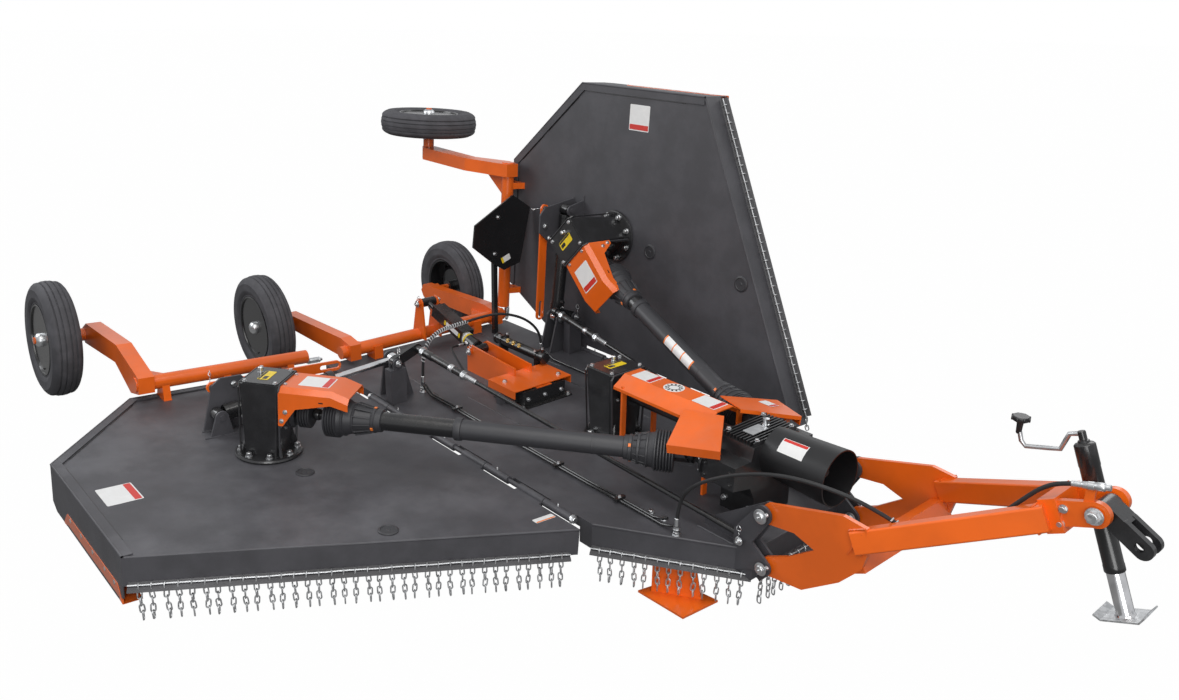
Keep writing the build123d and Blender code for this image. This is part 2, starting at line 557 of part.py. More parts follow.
# Jack: tube with its bent crank, sliding leg with a turned-up foot
JACK_TOP = (JACK_TOP_X, JACK_Y, JACK_TOP_Z)
JACK_FOOT = (JACK_FOOT_X, JACK_Y, JACK_FOOT_Z)
JACK_LEN = reach(JACK_TOP, JACK_FOOT)
CRANK = [(902, 476), (858, 458), (838, 392), (718, 358), (694, 385), (686, 430)]
CRANK_R = 8.0
jack_axis = towards(JACK_TOP, JACK_FOOT)
with BuildPart() as jack_body:
    with Locations(jack_axis * Location((0, 0, 20))):
        Cylinder(JACK_R, JACK_LEN - 180, align=ON_END)
    with Locations(jack_axis * Location((0, 0, 90))):
        Cylinder(LEG_R + FIT, JACK_LEN, align=ON_END, mode=Mode.SUBTRACT)
    with Locations(jack_axis * Location((0, 0, -28))):
        Cylinder(14, 60, align=ON_END)
    with BuildLine() as crank_line:
        FilletPolyline(*[(x, JACK_Y, z) for x, z in CRANK], radius=14)
    with BuildSketch(Plane(crank_line.line @ 0, z_dir=crank_line.line % 0)):
        Circle(CRANK_R)
    sweep()
    with Locations(towards((CRANK[-2][0], JACK_Y, CRANK[-2][1]), (CRANK[-1][0], JACK_Y, CRANK[-1][1]))
                   * Location((0, 0, 30))):
        Cylinder(15, 90, align=ON_END)
jack_body.part.label = "jack_body"
export_step(jack_body.part, "parts/jack_body.step")
with BuildPart() as jack_leg:
    with Locations(jack_axis * Location((0, 0, 240))):
        Cylinder(LEG_R, JACK_LEN - 240, align=ON_END)
    with BuildSketch(Plane(origin=JACK_FOOT, x_dir=(0, 1, 0), z_dir=(-(JACK_FOOT_Z - JACK_TOP_Z), 0,
                                                                     JACK_FOOT_X - JACK_TOP_X))):
        Polygon(*sheet([(-85, -18), (-60, 0), (60, 0), (85, -18)], 8), align=None)
    extrude(amount=55, both=True)
jack_leg.part.label = "jack_leg"
export_step(jack_leg.part, "parts/jack_leg.step")

# Divider gearbox: finned top, side outputs, stands down to the deck, input shaft
DIVIDER_REAR = DIVIDER_X - DIVIDER_L / 2
DIVIDER_HALF = [
    (0, 59), (150, 59), (168, 0), (272, 0), (276, -108), (160, -132), (128, -190), (128, DECK_Z), (0, DECK_Z),
]
with BuildPart() as divider_gearbox:
    with BuildSketch(Plane(origin=(DIVIDER_REAR, 0, 0), x_dir=(0, 1, 0), z_dir=(1, 0, 0))):
        Polygon(*DIVIDER_HALF, *[(-y, z) for y, z in DIVIDER_HALF[-2:0:-1]], align=None)
    extrude(amount=DIVIDER_L)
    for i in range(FINS):
        with Locations((DIVIDER_REAR + (i + 0.5) * DIVIDER_L / FINS, 0, DIVIDER_TOP - FIN_H - 1)):
            Box(FIN_T, 2 * DIVIDER_HALF[1][0], FIN_H + 1, align=ON_END)
    for side in (1, -1):
        with Locations(along_x(JOINT_X + 45, side * JOINT_Y, JOINT_Z)):
            Cylinder(24, DIVIDER_REAR - JOINT_X - 44, align=ON_END)
        with Locations(along_x(JOINT_X + 12, side * JOINT_Y, JOINT_Z)):
            Cylinder(10, 60, align=ON_END)
        with Locations(along_x(DIVIDER_REAR - 14, side * JOINT_Y, JOINT_Z)):
            Cylinder(42, 16, align=ON_END)
    with Locations((0, 0, 0)):
        with Locations(along_x(-PTO_LEN, 0, 0)):
            Cylinder(PTO_R, PTO_LEN, align=ON_END)
        with Locations(along_x(-280, 0, 0)):
            Cylinder(24, 280 - PTO_LEN, align=ON_END)
divider_gearbox.part.label = "divider_gearbox"
export_step(divider_gearbox.part, "parts/divider_gearbox.step")
SHIELD_X = DIVIDER_REAR + DIVIDER_L
with BuildPart() as input_shield:
    with BuildSketch(Plane.XZ):
        Polygon((SHIELD_X, 40), (SHIELD_X, SHIELD_REAR_R), (SHIELD_END, SHIELD_R), (SHIELD_END, SHIELD_R - 6),
                (SHIELD_X + 6, SHIELD_REAR_R - 6), (SHIELD_X + 6, 40), align=None)
    revolve(axis=Axis.X)
input_shield.part.label = "input_shield"
export_step(input_shield.part, "parts/input_shield.step")

# Centre gearbox, its driveline from the divider and the shield over both
with BuildPart() as centre_gearbox:
    gear_housing(CENTRE_BOX_X, 0, 0, -20 - DECK_Z)
    with Locations(along_x(CENTRE_BOX_X, 0, -20 - DECK_Z)):
        Cylinder(45, DIVIDER_REAR - CENTRE_BOX_X, align=ON_END)
centre_gearbox.part.locate(Location((0, 0, DECK_Z)))
centre_gearbox.part.label = "centre_gearbox"
export_step(centre_gearbox.part, "parts/centre_gearbox.step")
ROOF = [(-130, 34), (-130, 49), (-55, 99), (55, 99), (130, 49), (130, 34)]
ROOF_REAR, ROOF_FRONT = CENTRE_BOX_X + BOX_L / 2 + 25, -560
FLAP = [(-700, 0), (-560, 259), (-345, 157), (-520, -71)]    # x, and across the flap from y 130
FLAP_TILT = 10.0
with BuildPart() as centre_shield:
    with BuildSketch(Plane(origin=(ROOF_REAR, 0, 0), x_dir=(0, 1, 0), z_dir=(1, 0, 0))):
        Polygon(*sheet(ROOF, -PLATE), align=None)
    extrude(amount=ROOF_FRONT - ROOF_REAR)
    for side in (1, -1):
        tilt = radians(FLAP_TILT)
        flap = Plane(origin=(0, side * 130, 84), x_dir=(1, 0, 0), z_dir=(0, side * sin(tilt), cos(tilt)))
        with BuildSketch(flap):
            Polygon(*[(x, side * t) for x, t in FLAP], align=None)
        extrude(amount=-PLATE)
        for a, b, deep in ((FLAP[1], FLAP[2], 42), (FLAP[2], FLAP[3], 18)):
            turn = degrees(atan2(side * (b[1] - a[1]), b[0] - a[0]))
            with Locations(flap * Location(((a[0] + b[0]) / 2, side * (a[1] + b[1]) / 2, 0), (0, 0, turn))):
                Box(hypot(b[0] - a[0], b[1] - a[1]), PLATE, deep, align=ON_FACE)
        for x, y, low, high in ((-1110, 110, DECK_Z, 60), (-565, 110, DECK_Z, 85), (-400, 255, 0, 60)):
            with Locations((x, side * y, low)):
                Box(GUSSET, 30, high - low, align=ON_END)
centre_shield.part.label = "centre_shield"
export_step(centre_shield.part, "parts/centre_shield.step")

# Rear sign bracket
SIGN_X = -2929.0
with BuildPart() as sign_bracket:
    with Locations((SIGN_X - 21, 470, DECK_Z)):
        Box(30, 30, 600, align=ON_END)
    with BuildSketch(Plane(origin=(SIGN_X, 0, DECK_Z), x_dir=(0, 1, 0), z_dir=(1, 0, 0))):
        Polygon((283, 628), (301, 769), (608, 932), (750, 834), (665, 470), (530, 438), (450, 489), align=None)
    extrude(amount=GUSSET / 2, both=True)
sign_bracket.part.label = "sign_bracket"
export_step(sign_bracket.part, "parts/sign_bracket.step")


def blade_set(name, place):
    """Pan, two blades and the hub that turns on the spindle, hung at place."""
    with BuildPart() as blades:
        with Locations(place * Location((0, 0, -BLADE_DROP + 14))):
            Cylinder(PAN_R, 8)
        with Locations(place * Location((0, 0, -BLADE_DROP + 18))):
            Cylinder(60, 61.7, align=ON_END)
        for way in (1, -1):
            with Locations(place * Location((way * (BLADE_PIN - 45 + BLADE_REACH) / 2, 0, -BLADE_DROP))):
                Box(BLADE_REACH - BLADE_PIN + 45, BLADE_W, BLADE_T)
            with Locations(place * Location((way * BLADE_PIN, 0, -BLADE_DROP + 6))):
                Cylinder(24, 46)
        with Locations(place * Location((0, 0, -190.3))):
            Cylinder(SPINDLE_R + FIT, 90, align=ON_END, mode=Mode.SUBTRACT)
    blades.part.label = name
    export_step(blades.part, "parts/" + name + ".step")


blade_set("blades_centre", Location((CENTRE_BOX_X, 0, DECK_Z)))


def wheel(name, place):
    """Ribbed tyre and dished rim on a stub axle along the place's Y, outer face at +Y."""
    half = TYRE_W / 2
    with BuildPart() as tyre:
        with BuildSketch(Plane.XY):
            Polygon((RIM_R, half - 16), (TYRE_R - 66, half), (TYRE_R - 20, half - 20), (TYRE_R, half - 48),
                    (TYRE_R, 48 - half), (TYRE_R - 20, 20 - half), (TYRE_R - 66, -half), (RIM_R, 16 - half), align=None)
        revolve(axis=Axis.Y)
    tyre.part.locate(place)
    tyre.part.label = "tyre_" + name
    export_step(tyre.part, "parts/tyre_" + name + ".step")
    with BuildPart() as rim:
        with BuildSketch(Plane.XY):
            Polygon((STUB_R + FIT, 56), (46, 56), (52, 14), (120, 14), (150, 40), (RIM_R - 14, 40), (RIM_R - 10, half - 20),
                    (RIM_R, half - 14), (RIM_R, 14 - half), (RIM_R - 10, 20 - half), (RIM_R - 16, 30),
                    (154, 30), (124, 4), (46, 4), (46, -40), (STUB_R + FIT, -40), align=None)
        revolve(axis=Axis.Y)
        with Locations(Plane.XZ.offset(-22)):
            with PolarLocations(160, 8):
                Cylinder(17, 70, mode=Mode.SUBTRACT)
    rim.part.locate(place)
    rim.part.label = "rim_" + name
    export_step(rim.part, "parts/rim_" + name + ".step")


wheel("centre_right", Location((WHEEL_X, -WHEEL_Y, DECK_Z + WHEEL_H), (0, 0, 180)))
wheel("centre_left", Location((WHEEL_X, WHEEL_Y, DECK_Z + WHEEL_H)))


def hose(name, points, radius):
    """Free hose of straight runs joined by arcs, each as wide as its shorter run allows."""
    radii = []
    for a, b, c in zip(points, points[1:], points[2:]):
        u, v = Vector(*b) - Vector(*a), Vector(*c) - Vector(*b)
        radii.append(0.45 * min(u.length, v.length) / tan(radians(u.get_angle(v) / 2)))
    with BuildPart() as tube:
        with BuildLine() as route:
            FilletPolyline(*points, radius=radii)
        with BuildSketch(Plane(route.line @ 0, z_dir=route.line % 0)):
            Circle(radius)
        sweep()
    length = sum(edge.length for edge in route.edges())
    print(name, "bend radii", [round(r) for r in radii], "length", round(length),
          "volume ratio", round(tube.part.volume / (pi * radius ** 2 * length), 3))
    tube.part.label = name
    export_step(tube.part, "parts/" + name + ".step")


hose("hose_tongue", TONGUE_HOSE, HOSE_R)
hose("hose_cross", CROSS_HOSE, HOSE_R)
hose("hose_lift", LIFT_HOSE, LIFT_HOSE_R)

# Wing patterns, level, spreading to -Y from the hinge line
WING_EDGE = [
    (HINGE_X, -EDGE_GAP), (WING_FRONT_X, -WING_SPAN), (WING_SIDE_X, -WING_SPAN),
    (REAR_X, -WING_CLIP_S), (REAR_X, -WING_INNER_S), (WING_INNER_X, -EDGE_GAP),
]
WING_LUG = [(960, 0), (915, 235), (870, 270), (760, 270), (700, 200), (690, 0)]    # out from the hinge line, height
LOCK_X = FOLD_X - FOLD_PLATE - GUSSET - 6
with BuildPart() as wing_shell:
    with BuildSketch(Plane.XY.offset(-FRONT_DROP)):
        Polygon(*WING_EDGE, align=None)
    extrude(amount=FRONT_DROP)
    with BuildSketch(Plane.XY.offset(-FRONT_DROP)):
        Polygon(*WING_EDGE, align=None)
        offset(amount=-PLATE, mode=Mode.REPLACE)
    extrude(amount=FRONT_DROP - PLATE, mode=Mode.SUBTRACT)
    with BuildSketch(Plane.XY):
        Polygon((WING_FRONT_X, -WING_SPAN), (WING_SIDE_X, -WING_SPAN), (REAR_X, -WING_CLIP_S), (REAR_X, -WING_INNER_S),
                (REAR_X + RIM_STRIP, -WING_INNER_S), (REAR_X + RIM_STRIP, -WING_CLIP_S + RIM_STRIP * 0.45),
                (WING_SIDE_X + RIM_STRIP * 0.45, -WING_SPAN + RIM_STRIP), (WING_FRONT_X, -WING_SPAN + RIM_STRIP),
                align=None)
    extrude(amount=RIM_RISE)
    with Locations(((HINGE_X + WING_INNER_X) / 2, -EDGE_GAP, -FRONT_DROP / 2 - 48)):
        Box(HINGE_X - WING_INNER_X - 160, 40, FRONT_DROP, mode=Mode.SUBTRACT)
    with BuildSketch(Plane.XZ.offset(WING_SPAN - PLATE)):
        Polygon((WING_FRONT_X, -2), (WING_SIDE_X, -2), (WING_SIDE_X, -SIDE_DROP + 30), (WING_SIDE_X + 60, -SIDE_DROP),
                (WING_FRONT_X - 60, -SIDE_DROP), (WING_FRONT_X, -SIDE_DROP + 30), align=None)
    extrude(amount=PLATE)
    for x in HINGE_XS:
        with Locations(along_x(x - BARREL_L - BARREL_GAP, 0, 0)):
            Cylinder(BARREL_R, BARREL_L)
        with Locations((x - BARREL_L - BARREL_GAP, -EDGE_GAP / 2 - 6, -8)):
            Box(BARREL_L, EDGE_GAP + 12, 16)
        with Locations(along_x(x - BARREL_L - BARREL_GAP, 0, 0)):
            Cylinder(HINGE_R + FIT, BARREL_L + 2, mode=Mode.SUBTRACT)
    with BuildSketch(Plane(origin=(FOLD_X - FOLD_PLATE, 0, 0), x_dir=(0, 1, 0), z_dir=(1, 0, 0))):
        Polygon(*[(-s, h) for s, h in WING_LUG], align=None)
    extrude(amount=GUSSET / 2, both=True)
    with BuildSketch(Plane(origin=(FOLD_X + FOLD_PLATE, 0, 0), x_dir=(0, 1, 0), z_dir=(1, 0, 0))):
        Polygon((-FOLD_WING_S - 60, 0), (-FOLD_WING_S + 60, 0), (-FOLD_WING_S + 34, FOLD_WING_H),
                (-FOLD_WING_S - 34, FOLD_WING_H), align=None)
        with Locations((-FOLD_WING_S, FOLD_WING_H)):
            Circle(34)
    extrude(amount=GUSSET / 2, both=True)
    with Locations(along_x(FOLD_X, -FOLD_WING_S, FOLD_WING_H)):
        Cylinder(WING_PIN_R, 2 * FOLD_PLATE + GUSSET + 16)
    with Locations(along_x(LOCK_X - 12, -BAR_S[1], BAR_H)):
        Cylinder(10, FOLD_X - FOLD_PLATE - LOCK_X + 12, align=ON_END)
    with Locations(along_x(LOCK_X + GUSSET / 2 + 0.1, -BAR_S[1], BAR_H)):
        Cylinder(18, FOLD_X - FOLD_PLATE - LOCK_X - GUSSET / 2, align=ON_END)
    with Locations((WING_BOX_X, -WING_BOX_S, 0)):
        Cylinder(60, 60, mode=Mode.SUBTRACT)
with BuildPart() as wing_lock_bar:
    with BuildSketch(Plane(origin=(LOCK_X, 0, 0), x_dir=(0, 1, 0), z_dir=(1, 0, 0))):
        with Locations((-(BAR_S[0] + BAR_S[1]) / 2, BAR_H)):
            SlotCenterToCenter(BAR_S[1] - BAR_S[0], BAR_W)
        with Locations((-BAR_S[0] - 40, BAR_H)):
            SlotCenterToCenter(90, 26, mode=Mode.SUBTRACT)
        with Locations((-BAR_S[1], BAR_H)):
            Circle(10 + FIT, mode=Mode.SUBTRACT)
    extrude(amount=GUSSET / 2, both=True)
with BuildPart() as wing_chain_guard:
    run = hypot(WING_FRONT_X - HINGE_X, WING_SPAN - EDGE_GAP)
    turn = degrees(atan2(-(WING_SPAN - EDGE_GAP), WING_FRONT_X - HINGE_X))
    out_x, out_y = -sin(radians(turn)) * LEDGE / 2, cos(radians(turn)) * LEDGE / 2
    chain_row((HINGE_X + out_x + 40 * cos(radians(turn)), -EDGE_GAP + out_y + 40 * sin(radians(turn))), run - 60, turn,
              CHAIN_PITCH, -FRONT_DROP)
    chain_row((REAR_X - LEDGE / 2, -WING_CLIP_S + 20), WING_CLIP_S - WING_INNER_S - 40, 90, REAR_PITCH, -FRONT_DROP)
with BuildPart() as wing_shoe:
    with BuildSketch(Plane.XY.offset(-SIDE_DROP)):
        Polygon((-2364, -1665), (-2247, -WING_SPAN + PLATE), (-1560, -WING_SPAN + PLATE), (-1501, -1640), (-1560, -1590),
                (-2300, -1590), align=None)
    extrude(amount=-10)
with BuildPart() as wing_axle:
    with Locations(along_y(AXLE_X, -620, 100)):
        Cylinder(AXLE_R, 988)
    for s in (240, 620, 960):
        with BuildSketch(Plane.XZ.offset(s)):
            Polygon((AXLE_X - 55, RIM_RISE), (REAR_X + RIM_STRIP, RIM_RISE), (REAR_X + RIM_STRIP, 0), (AXLE_X + 55, 0),
                    (AXLE_X + 30, 104), (AXLE_X - 30, 104), align=None)
        extrude(amount=20, both=True)
    with BuildSketch(Plane.XZ.offset(1066)):
        Polygon((WING_WHEEL_X - 34, WING_WHEEL_H - 10), (WING_WHEEL_X + 10, WING_WHEEL_H - 50), (-3400, 130),
                (REAR_X - 20, 30), (AXLE_X + 52, 60), (AXLE_X + 52, 150), (-3370, 240), (WING_WHEEL_X + 48, 214),
                (WING_WHEEL_X - 34, WING_WHEEL_H + 30), align=None)
    extrude(amount=42, both=True)
    with BuildSketch(Plane.XY.offset(100)):
        Polygon((AXLE_X, -1030), (AXLE_X, -860), (REAR_X - 190, -1030), align=None)
    extrude(amount=GUSSET / 2, both=True)
    with Locations(along_y(WING_WHEEL_X, -WING_WHEEL_S + 45, WING_WHEEL_H)):
        Cylinder(STUB_R, 300)
    with Locations(along_y(WING_WHEEL_X, -1130, WING_WHEEL_H)):
        Cylinder(38, 60)
BOX_TURN = degrees(atan2(WING_BOX_S - WING_JOINT_S, WING_JOINT_X - WING_BOX_X))
box_place = Location((WING_BOX_X, -WING_BOX_S, 0), (0, 0, BOX_TURN))
with BuildPart() as wing_box:
    gear_housing(WING_BOX_X, -WING_BOX_S, BOX_TURN, WING_JOINT_H)
    with Locations(box_place * Location((DRUM_END, 0, WING_JOINT_H), (0, 90, 0))):
        Cylinder(24, STUB_END - DRUM_END, align=ON_END)
HOOD_HALF, HOOD_TOP, HOOD_DROP = 120.0, 380.0, 60.0
HOOD_START, HOOD_END = BOX_L / 2, 430.0
with BuildPart() as wing_cover:
    hood = Plane(box_place * Location((HOOD_START, 0, 0)))
    with BuildSketch(Plane(origin=hood.origin, x_dir=hood.y_dir, z_dir=hood.x_dir)):
        Polygon(*sheet([(-HOOD_HALF, HOOD_TOP - HOOD_DROP), (-HOOD_HALF, HOOD_TOP - 24), (24 - HOOD_HALF, HOOD_TOP),
                        (HOOD_HALF - 24, HOOD_TOP), (HOOD_HALF, HOOD_TOP - 24), (HOOD_HALF, HOOD_TOP - HOOD_DROP)],
                       PLATE), align=None)
    extrude(amount=HOOD_END - HOOD_START)
    for way in (1, -1):
        with BuildSketch(Plane(origin=hood.origin + hood.y_dir * (way * (HOOD_HALF + PLATE / 2)), x_dir=hood.x_dir,
                               z_dir=-hood.y_dir)):
            Polygon((0, FLANGE_T), (30, FLANGE_T), (86, HOOD_TOP - HOOD_DROP + 2), (0, HOOD_TOP - HOOD_DROP + 2),
                    align=None)
        extrude(amount=PLATE / 2, both=True)
    with Locations(box_place * Location((HOOD_START + 20, 0, 0))):
        Box(40, 2 * HOOD_HALF + 2 * PLATE, FLANGE_T + 2, align=ON_END)
        Cylinder(FLANGE_R + 0.2, 80, mode=Mode.SUBTRACT)

WINGS = [
    # name, side, fold angle at rest
    ("right", -1, WING_DOWN),
    ("left", 1, WING_UP),
]
PATTERNS = [
    # name before the side, name after it, pattern
    ("wing_", "_deck", wing_shell), ("wing_", "_chains", wing_chain_guard), ("wing_", "_shoe", wing_shoe),
    ("wing_", "_axle", wing_axle), ("wing_", "_gearbox", wing_box), ("wing_", "_shield", wing_cover),
    ("lock_bar_", "", wing_lock_bar),
]
for name, side, angle in WINGS:
    place = wing_place(side, angle)
    for before, after, pattern in PATTERNS:
        with BuildPart() as wing_piece:
            add(pattern.part if side < 0 else mirror(pattern.part, about=Plane.XZ, mode=Mode.PRIVATE))
        wing_piece.part.locate(place)
        wing_piece.part.label = before + name + after
        export_step(wing_piece.part, "parts/" + before + name + after + ".step")
    hub = (WING_BOX_X, side * WING_BOX_S, 0)
    blade_set("blades_" + name, place * Location(hub))
    turn = 180 if side < 0 else 0
    wheel("wing_" + name, place * Location((WING_WHEEL_X, side * WING_WHEEL_S, WING_WHEEL_H), (0, 0, turn)))

    # Driveline: swivel block, outer guard tube with its bell, inner guard tube with the far bell
    d = (JOINT_X, side * JOINT_Y, JOINT_Z)
    w = wing_point(side, angle, WING_JOINT_X, WING_JOINT_S, WING_JOINT_H)
    full = reach(d, w)
    radial = atan2(w[2] - d[2], w[1] - d[1])
    across = (0, -sin(radial), cos(radial))
    line = Plane(origin=d, x_dir=across, z_dir=tuple(q - p for p, q in zip(d, w)))
    with BuildPart() as swivel:
        with Locations(Location(d)):
            Sphere(32)
        with Locations(Plane(origin=d, z_dir=across)):
            Cylinder(10, 96)
        with Locations(along_x(*d)):
            Cylinder(10 + FIT, 60, align=ON_END, mode=Mode.SUBTRACT)
    swivel.part.label = "drive_swivel_" + name
    export_step(swivel.part, "parts/drive_swivel_" + name + ".step")
    with BuildPart() as drive_tube:
        with Locations(line * Location((42, 0, 36)), line * Location((-42, 0, 36))):
            Box(12, 40, 112)
        with BuildSketch(Plane(origin=line.origin, x_dir=line.x_dir, z_dir=line.y_dir)):
            Polygon((GUARD_BORE, -76), (BOOT_R, -76), (BOOT_R, -146), (BOOT_R - 10, -150), (GUARD_R + 4, -270),
                    (GUARD_R, -272), (GUARD_R, -TUBE_END), (GUARD_BORE, -TUBE_END), align=None)
        revolve(axis=Axis(line.origin, line.z_dir))
        with Locations(Plane(origin=d, z_dir=across)):
            Cylinder(10 + FIT, 120, mode=Mode.SUBTRACT)
    drive_tube.part.label = "drive_tube_" + name
    export_step(drive_tube.part, "parts/drive_tube_" + name + ".step")
    far = towards(w, d)
    with BuildPart() as drive_shaft:
        with Locations(Location(w)):
            Sphere(30)
        with Locations(far):
            Cylinder(24, 100, align=ON_END)
        with Locations(far * Location((0, 0, 52))):
            Cylinder(FAR_BOOT_R, 44, align=ON_END)
        with Locations(far * Location((0, 0, 96))):
            Cone(FAR_BOOT_R - 8, GUARD_R + 2, 230, align=ON_END)
            Cylinder(SHAFT_R, SHAFT_LEN - 96, align=ON_END)
    drive_shaft.part.label = "drive_shaft_" + name
    export_step(drive_shaft.part, "parts/drive_shaft_" + name + ".step")

    # Fold cylinder: barrel pinned to the wing, rod reaching to the centre deck's lug
    b = wing_point(side, angle, FOLD_X, FOLD_WING_S, FOLD_WING_H)
    c = (FOLD_X, side * FOLD_LUG_Y, FOLD_LUG_Z)
    stroke_line = Plane(origin=b, x_dir=(1, 0, 0), z_dir=tuple(q - p for p, q in zip(b, c)))
    full = reach(b, c)
    with BuildPart() as fold_barrel:
        with Locations(stroke_line * Location((0, 0, 30))):
            Cylinder(BORE_R, BARREL_END - 30, align=ON_END)
        with Locations(stroke_line * Location((0, 0, 60))):
            Cylinder(ROD_R + FIT, BARREL_END, align=ON_END, mode=Mode.SUBTRACT)
        with Locations(along_x(*b)):
            Cylinder(32, 60)
            Cylinder(WING_PIN_R + FIT, 80, mode=Mode.SUBTRACT)
    fold_barrel.part.label = "fold_barrel_" + name
    export_step(fold_barrel.part, "parts/fold_barrel_" + name + ".step")
    with BuildPart() as fold_rod:
        with Locations(stroke_line * Location((0, 0, full))):
            Cylinder(ROD_R, FOLD_ROD_L, align=ON_FACE)
        with Locations(along_x(*c)):
            Cylinder(32, 40)
            Cylinder(WING_PIN_R, 60, mode=Mode.SUBTRACT)
    fold_rod.part.label = "fold_rod_" + name
    export_step(fold_rod.part, "parts/fold_rod_" + name + ".step")
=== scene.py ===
"""Flex-wing rotary cutter: finishes, chains, tyres, hoses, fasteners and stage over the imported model."""
import json
from math import atan2, cos, pi, radians, sin, tau

import bpy
from bpy.props import FloatProperty, FloatVectorProperty, IntProperty, PointerProperty
from mathutils import Matrix, Vector


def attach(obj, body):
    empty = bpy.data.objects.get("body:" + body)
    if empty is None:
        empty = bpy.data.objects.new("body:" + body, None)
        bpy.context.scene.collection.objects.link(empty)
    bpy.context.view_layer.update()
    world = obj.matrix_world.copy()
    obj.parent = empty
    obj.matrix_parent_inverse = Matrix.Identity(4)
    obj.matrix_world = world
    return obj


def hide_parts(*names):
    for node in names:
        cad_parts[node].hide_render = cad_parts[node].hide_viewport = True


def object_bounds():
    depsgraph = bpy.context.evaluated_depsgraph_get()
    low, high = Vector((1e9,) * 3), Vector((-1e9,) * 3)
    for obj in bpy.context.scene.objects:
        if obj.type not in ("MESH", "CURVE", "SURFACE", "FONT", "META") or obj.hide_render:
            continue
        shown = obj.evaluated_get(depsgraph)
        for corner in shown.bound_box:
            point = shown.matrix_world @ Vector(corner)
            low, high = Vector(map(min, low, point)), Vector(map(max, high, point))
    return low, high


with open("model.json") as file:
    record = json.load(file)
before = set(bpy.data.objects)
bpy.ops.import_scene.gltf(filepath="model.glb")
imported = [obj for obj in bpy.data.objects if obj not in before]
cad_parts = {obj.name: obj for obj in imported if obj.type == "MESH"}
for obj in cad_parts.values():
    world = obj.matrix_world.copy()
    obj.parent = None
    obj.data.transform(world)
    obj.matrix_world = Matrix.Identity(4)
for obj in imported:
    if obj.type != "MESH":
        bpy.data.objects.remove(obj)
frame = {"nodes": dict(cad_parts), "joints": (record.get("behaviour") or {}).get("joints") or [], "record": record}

CAD_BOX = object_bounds()

bl_info = {
    "name": "Flex-wing cutter",
    "version": (1, 0, 0),
    "blender": (4, 5, 0),
    "location": "View3D > Sidebar > Cutter",
    "description": "Dresses the folding rotary cutter with paint, chains, tyres, hoses and fasteners",
    "category": "Object",
}

JOINTS = {joint["name"]: joint for joint in frame["joints"]}


def joint_at(name):
    """Place of a joint in the frame."""
    return Vector(JOINTS[name]["pos_m"])


HINGE_X, HINGE_Y, DECK_Z = joint_at("fold_right")
HINGE_Y = abs(HINGE_Y)
NOSE_X, NOSE_HALF = -0.109, 0.307            # front of the centre deck
REAR_X = -3.130                              # rear edge of the decks
DECK_HALF = HINGE_Y - 0.036                  # side edge of the centre deck
SKIRT = 0.123                                # height of the front skirts
LEDGE = 0.042                                # width of the ledge that carries the chains
WING_SPAN, WING_FRONT_X, WING_SIDE_X = 1.674, -1.500, -2.488
WING_CLIP_S, WING_INNER_S = 1.122, 0.268     # ends of a wing's rear edge
BOX_TOP = 0.388                              # top of a spindle's gearbox above its deck
FLANGE = 0.022                               # thickness of a gearbox's foot
STUB_H = 0.223                               # height of a wing gearbox's output
PIPE_Z = DECK_Z + 0.0125                     # oil lines on the deck
SIDES = {"right": -1, "left": 1}


def wing_frame(name):
    """Matrix from a wing's own x, y (outwards over its own side) and height to the frame, at rest."""
    up = Vector(JOINTS["spindle_" + name]["axis"]).normalized()
    along = Vector((1, 0, 0))
    axes = Matrix((along, up.cross(along), up)).transposed().to_4x4()
    return Matrix.Translation((0, SIDES[name] * HINGE_Y, DECK_Z)) @ axes


def move(x, y, z):
    return Matrix.Translation((x, y, z))


def spin(angle, axis):
    return Matrix.Rotation(angle, 4, axis)


def circle(count, radius, height=0.0, phase=0.0):
    """Places round a circle about Z; the phase is a share of a step."""
    angles = [tau * (k + phase) / count for k in range(count)]
    return [move(radius * cos(a), radius * sin(a), height) for a in angles]


def facing(point, way, up=(0, 0, 1)):
    """Place at a point whose Z runs along a way."""
    z = Vector(way).normalized()
    x = Vector(up).cross(z)
    x = x.normalized() if x.length > 1e-4 else z.orthogonal().normalized()
    return Matrix.Translation(point) @ Matrix((x, z.cross(x), z)).transposed().to_4x4()


LEVEL = move(0, 0, DECK_Z)
FINISHES = {}


# Meshes

